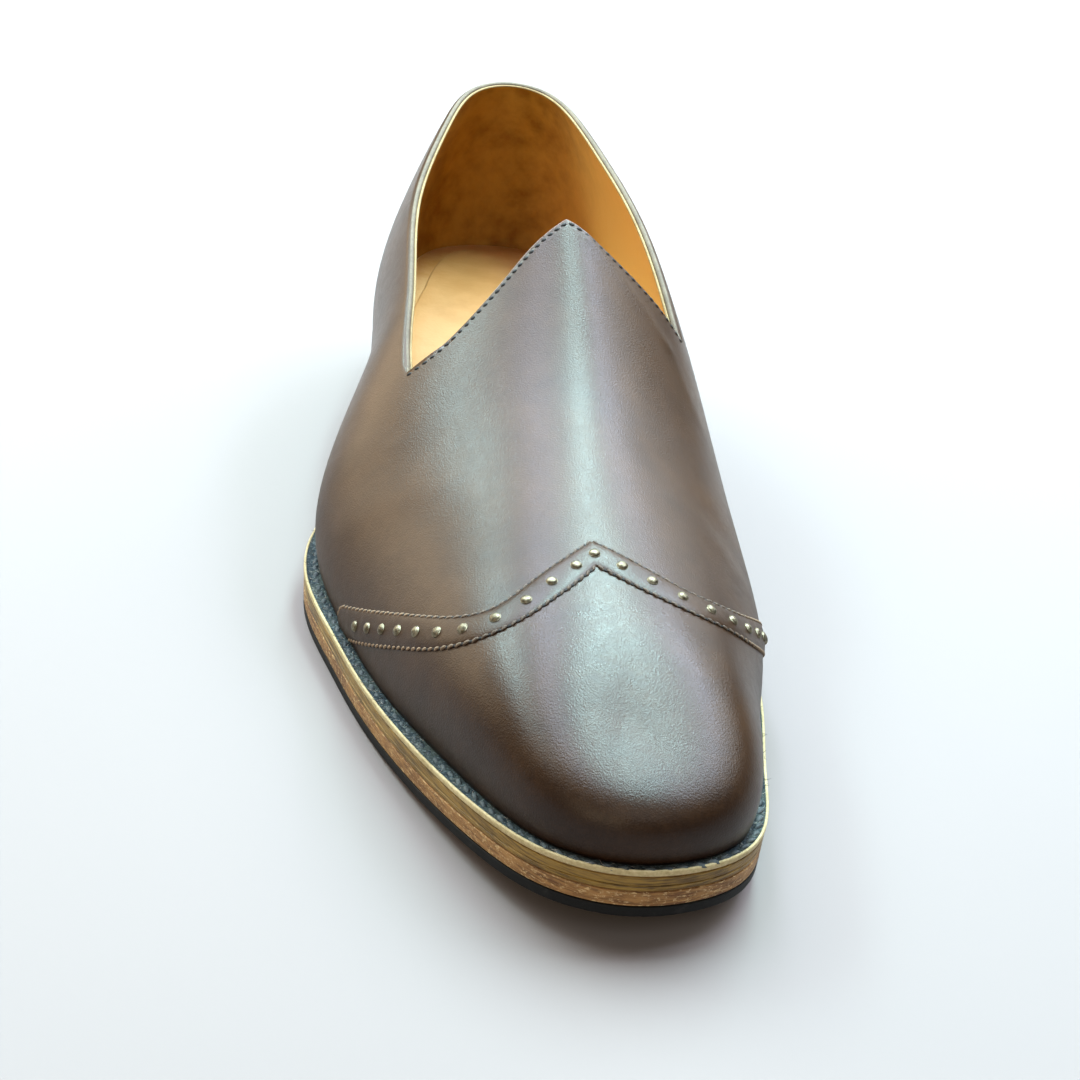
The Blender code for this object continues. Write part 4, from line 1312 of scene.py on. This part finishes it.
# Near-black thread of the tongue; the same material is the painted shade in the band's needle holes.
tongue_thread_and_hole_shade = thread('tongue_thread_and_hole_shade', (0.006, 0.005, 0.005), (0.022, 0.018, 0.016))
cloth = rough_cloth('welt_cloth')
cream = cut_edge('welt_edge', (0.34, 0.26, 0.12), (0.56, 0.46, 0.26))
lump = cut_edge('welt_stitch_cloth', (0.016, 0.024, 0.030), (0.085, 0.100, 0.100))
dark_fibre = thread('dark_fibre', (0.010, 0.011, 0.012), (0.05, 0.05, 0.045))
pale_fibre = thread('pale_fibre', (0.30, 0.26, 0.22), (0.60, 0.52, 0.46))
olive = layered_leather('midsole_edge', (0.075, 0.040, 0.007), (0.28, 0.165, 0.032), 8.0, 0.46)
russet = layered_leather('outsole_edge', (0.12, 0.050, 0.016), (0.34, 0.175, 0.058), 5.0, 0.6,
                         (0.58, 0.40, 0.19))
grain = layered_leather('sole_grain', (0.34, 0.19, 0.08), (0.50, 0.31, 0.15), 1.0, 0.5)
heel_side = layered_leather('heel_lifts', (0.050, 0.027, 0.012), (0.13, 0.07, 0.03), 6.0, 0.42)
metal = aged_metal('aged_stud_metal')
rubber = black_rubber('black_rubber')
tread = black_rubber('rubber_tread', tread=True)

# Faces of each half: back wall, tongue, front wall, up the wall, over the vamp.
outer_counts = (96, 44, 126, 36, 44)
lining_counts = (96, 44, 60, 24, 24)

piece = upper_shell('upper_leather', outer_counts, 0.0, -LEATHER, 0.35,
                    [calf, flesh, quarter_edge, tongue_rim], True)
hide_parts("upper")
piece = upper_shell('upper_lining', lining_counts, -LEATHER - 0.05, -LEATHER - 0.05 - LINING, 0.30,
                    [flesh, lining, lining_edge, lining_edge], False)
piece = wing_band([band_calf])
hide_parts("wing_band")
band_rows('band_stitches', (1.84, 0.68, 0.60), STITCH_PITCH * 0.5, 0.24, -0.40, 5, [band_thread])
# Near-black beads between the band's stitches: painted shade in the needle holes.
band_rows('band_hole_shade', (1.25, 0.78, 0.40), STITCH_PITCH, 0.13, -0.1, 6, [tongue_thread_and_hole_shade])
tongue_stitches([tongue_thread_and_hole_shade])
piece = studs([metal])
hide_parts(*["stud_%02d" % k for k in range(1, len(stud_line()) + 1)])

piece = welt([cloth, cream])
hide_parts("welt")
welt_stitches([lump])
welt_fibres('welt_fibres_dark', 420, 21, [dark_fibre], 2.4)
welt_fibres('welt_fibres_pale', 240, 57, [pale_fibre], 1.6)

below_welt = WELT_THICK + GAP
piece = layer('midsole_layer', ring_of(HEEL_S, TOE_S, 0.1), below(below_welt),
              below(below_welt + MIDSOLE_THICK), steps([0.62], 0.0, 0.1, 0.22), [grain, olive, grain])
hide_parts("midsole")
below_mid = below_welt + MIDSOLE_THICK + GAP
piece = layer('outsole_layer', ring_of(HEEL_S, TOE_S, 0.2), below(below_mid),
              below(below_mid + OUTSOLE_THICK), steps([], 0.0, 0.1, 0.0), [grain, russet, grain])
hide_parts("outsole")
below_out = below_mid + OUTSOLE_THICK + GAP
piece = layer('half_sole_layer', ring_of(HALF_SOLE_BACK, TOE_S, 0.3, HALF_SOLE_BOW), below(below_out),
              below(below_out + HALF_SOLE_THICK), steps([], 0.0, 0.1, 0.0), [rubber, rubber, tread])
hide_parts("half_sole")
piece = layer('heel_stack', ring_of(HEEL_S, BREAST, 0.5, 0.0, BREAST_HOLLOW, 140), below(below_out),
              level(TOP_PIECE_THICK + GAP), steps([0.25, 0.5, 0.75], 0.0, 1.2, 0.12, 0.012),
              [grain, heel_side, grain])
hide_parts("heel_block")
piece = layer('heel_top_rubber', ring_of(HEEL_S, BREAST - 1.3, 1.8, 0.0, BREAST_HOLLOW, 140),
              level(TOP_PIECE_THICK), level(0.0), steps([], 0.0, 0.5, 0.0), [rubber, rubber, tread])
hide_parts("heel_top_piece")
piece = insole_sock([sock, sock_edge, sock_edge])
heel_pad([pad_leather, pad_leather, sock_edge])
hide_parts("insole")

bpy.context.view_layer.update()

# ---- floor, light and camera ----
bm = bmesh.new()
bmesh.ops.create_grid(bm, x_segments=8, y_segments=8, size=1.6)
mesh = bpy.data.meshes.new('floor')
bm.to_mesh(mesh)
bm.free()
mesh.materials.append(plain_floor('pale_floor'))
floor = bpy.data.objects.new('floor', mesh)
bpy.context.scene.collection.objects.link(floor)


def soft_light(name, place, aim, size, colour, radiance):
    """Rectangular light of an even radiance that faces a point."""
    data = bpy.data.lights.new(name, 'AREA')
    data.shape = 'RECTANGLE'
    data.size, data.size_y = size
    data.color = colour
    data.energy = radiance * math.pi * size[0] * size[1]
    light = bpy.data.objects.new(name, data)
    way = Vector(aim) - Vector(place)
    light.location = place
    light.rotation_euler = way.to_track_quat('-Z', 'Y').to_euler()
    bpy.context.scene.collection.objects.link(light)
    return light


CEILING = 1.2
WHITE, LILAC, PLAIN, WARM = (0.60, 0.97, 1.0), (0.62, 0.75, 1.0), (0.91, 0.98, 1.0), (1.0, 0.84, 0.62)
# Long soft boxes under the ceiling, as parts of its height: middle and slant of each, its start
# and end behind the toe, its width, colour and radiance.
for name, x, slant, start, end, wide, colour, power in (
        ('ceiling', 0.10, 0.0, -0.05, 1.35, 2.50, PLAIN, 5.4),
        ('strip_left', -0.66, 0.10, 0.30, 1.20, 0.24, WHITE, 24.0),
        ('strip_middle', -0.15, 0.10, -0.05, 1.10, 0.16, LILAC, 19.0),
        ('strip_right', 0.22, 0.12, 0.00, 1.15, 0.11, WHITE, 62.0),
        ('strip_far_right', 0.60, 0.12, -0.05, 1.10, 0.16, LILAC, 24.0)):
    drop = 0.0 if name == 'ceiling' else 0.03
    centre = Vector((x, (start + end) / 2, 1.0 - drop)) * CEILING
    box = soft_light(name, centre, (centre.x, centre.y, 0.0), (wide * CEILING, (end - start) * CEILING),
                     colour, power)
    box.rotation_euler.z -= slant
soft_light('left_wall', (-1.35, 1.15, 0.55), (0, 0, 0.05), (1.4, 0.8), WARM, 4.2)
soft_light('right_wall', (0.90, 1.45, 0.60), (0, 0, 0.05), (1.0, 0.5), PLAIN, 2.6)
soft_light('front_fill', (-0.9, -1.5, 0.7), (0, 0, 0.05), (1.2, 0.8), WARM, 2.8)
soft_light('front_top', (0.2, -1.5, 1.7), (0, -0.2, 0), (1.8, 0.9), PLAIN, 1.6)

world_light = bpy.data.worlds.new('studio')
world_light.use_nodes = True
backdrop = world_light.node_tree.nodes['Background']
backdrop.inputs['Color'].default_value = (1.0, 0.87, 0.73, 1.0)
backdrop.inputs['Strength'].default_value = 0.14
bpy.context.scene.world = world_light
bpy.context.scene.view_settings.view_transform = 'Standard'

TURN, RISE, ROLL = math.radians(-8.8), math.radians(27.1), math.radians(6.9)
DISTANCE = 0.465
AIM = (4.2, 145.0, 5.5)   # sideways, station, up
target = Vector(((AIM[0] - CENTRE_X) * MM, (CENTRE_S - AIM[1]) * MM, AIM[2] * MM))
back = Vector((math.sin(TURN) * math.cos(RISE), -math.cos(TURN) * math.cos(RISE), math.sin(RISE)))
right = Vector((math.cos(TURN), math.sin(TURN), 0.0))
upward = back.cross(right)
tilted_right = right * math.cos(ROLL) + upward * math.sin(ROLL)
tilted_up = upward * math.cos(ROLL) - right * math.sin(ROLL)
lens = bpy.data.cameras.new('camera')
lens.lens = 62.17
lens.sensor_width = 36.0
lens.clip_start = 0.01
camera = bpy.data.objects.new('camera', lens)
camera.matrix_world = Matrix.Translation(target + back * DISTANCE) @ Matrix(
    (tilted_right, tilted_up, back)).transposed().to_4x4()
bpy.context.scene.collection.objects.link(camera)
bpy.context.scene.camera = camera
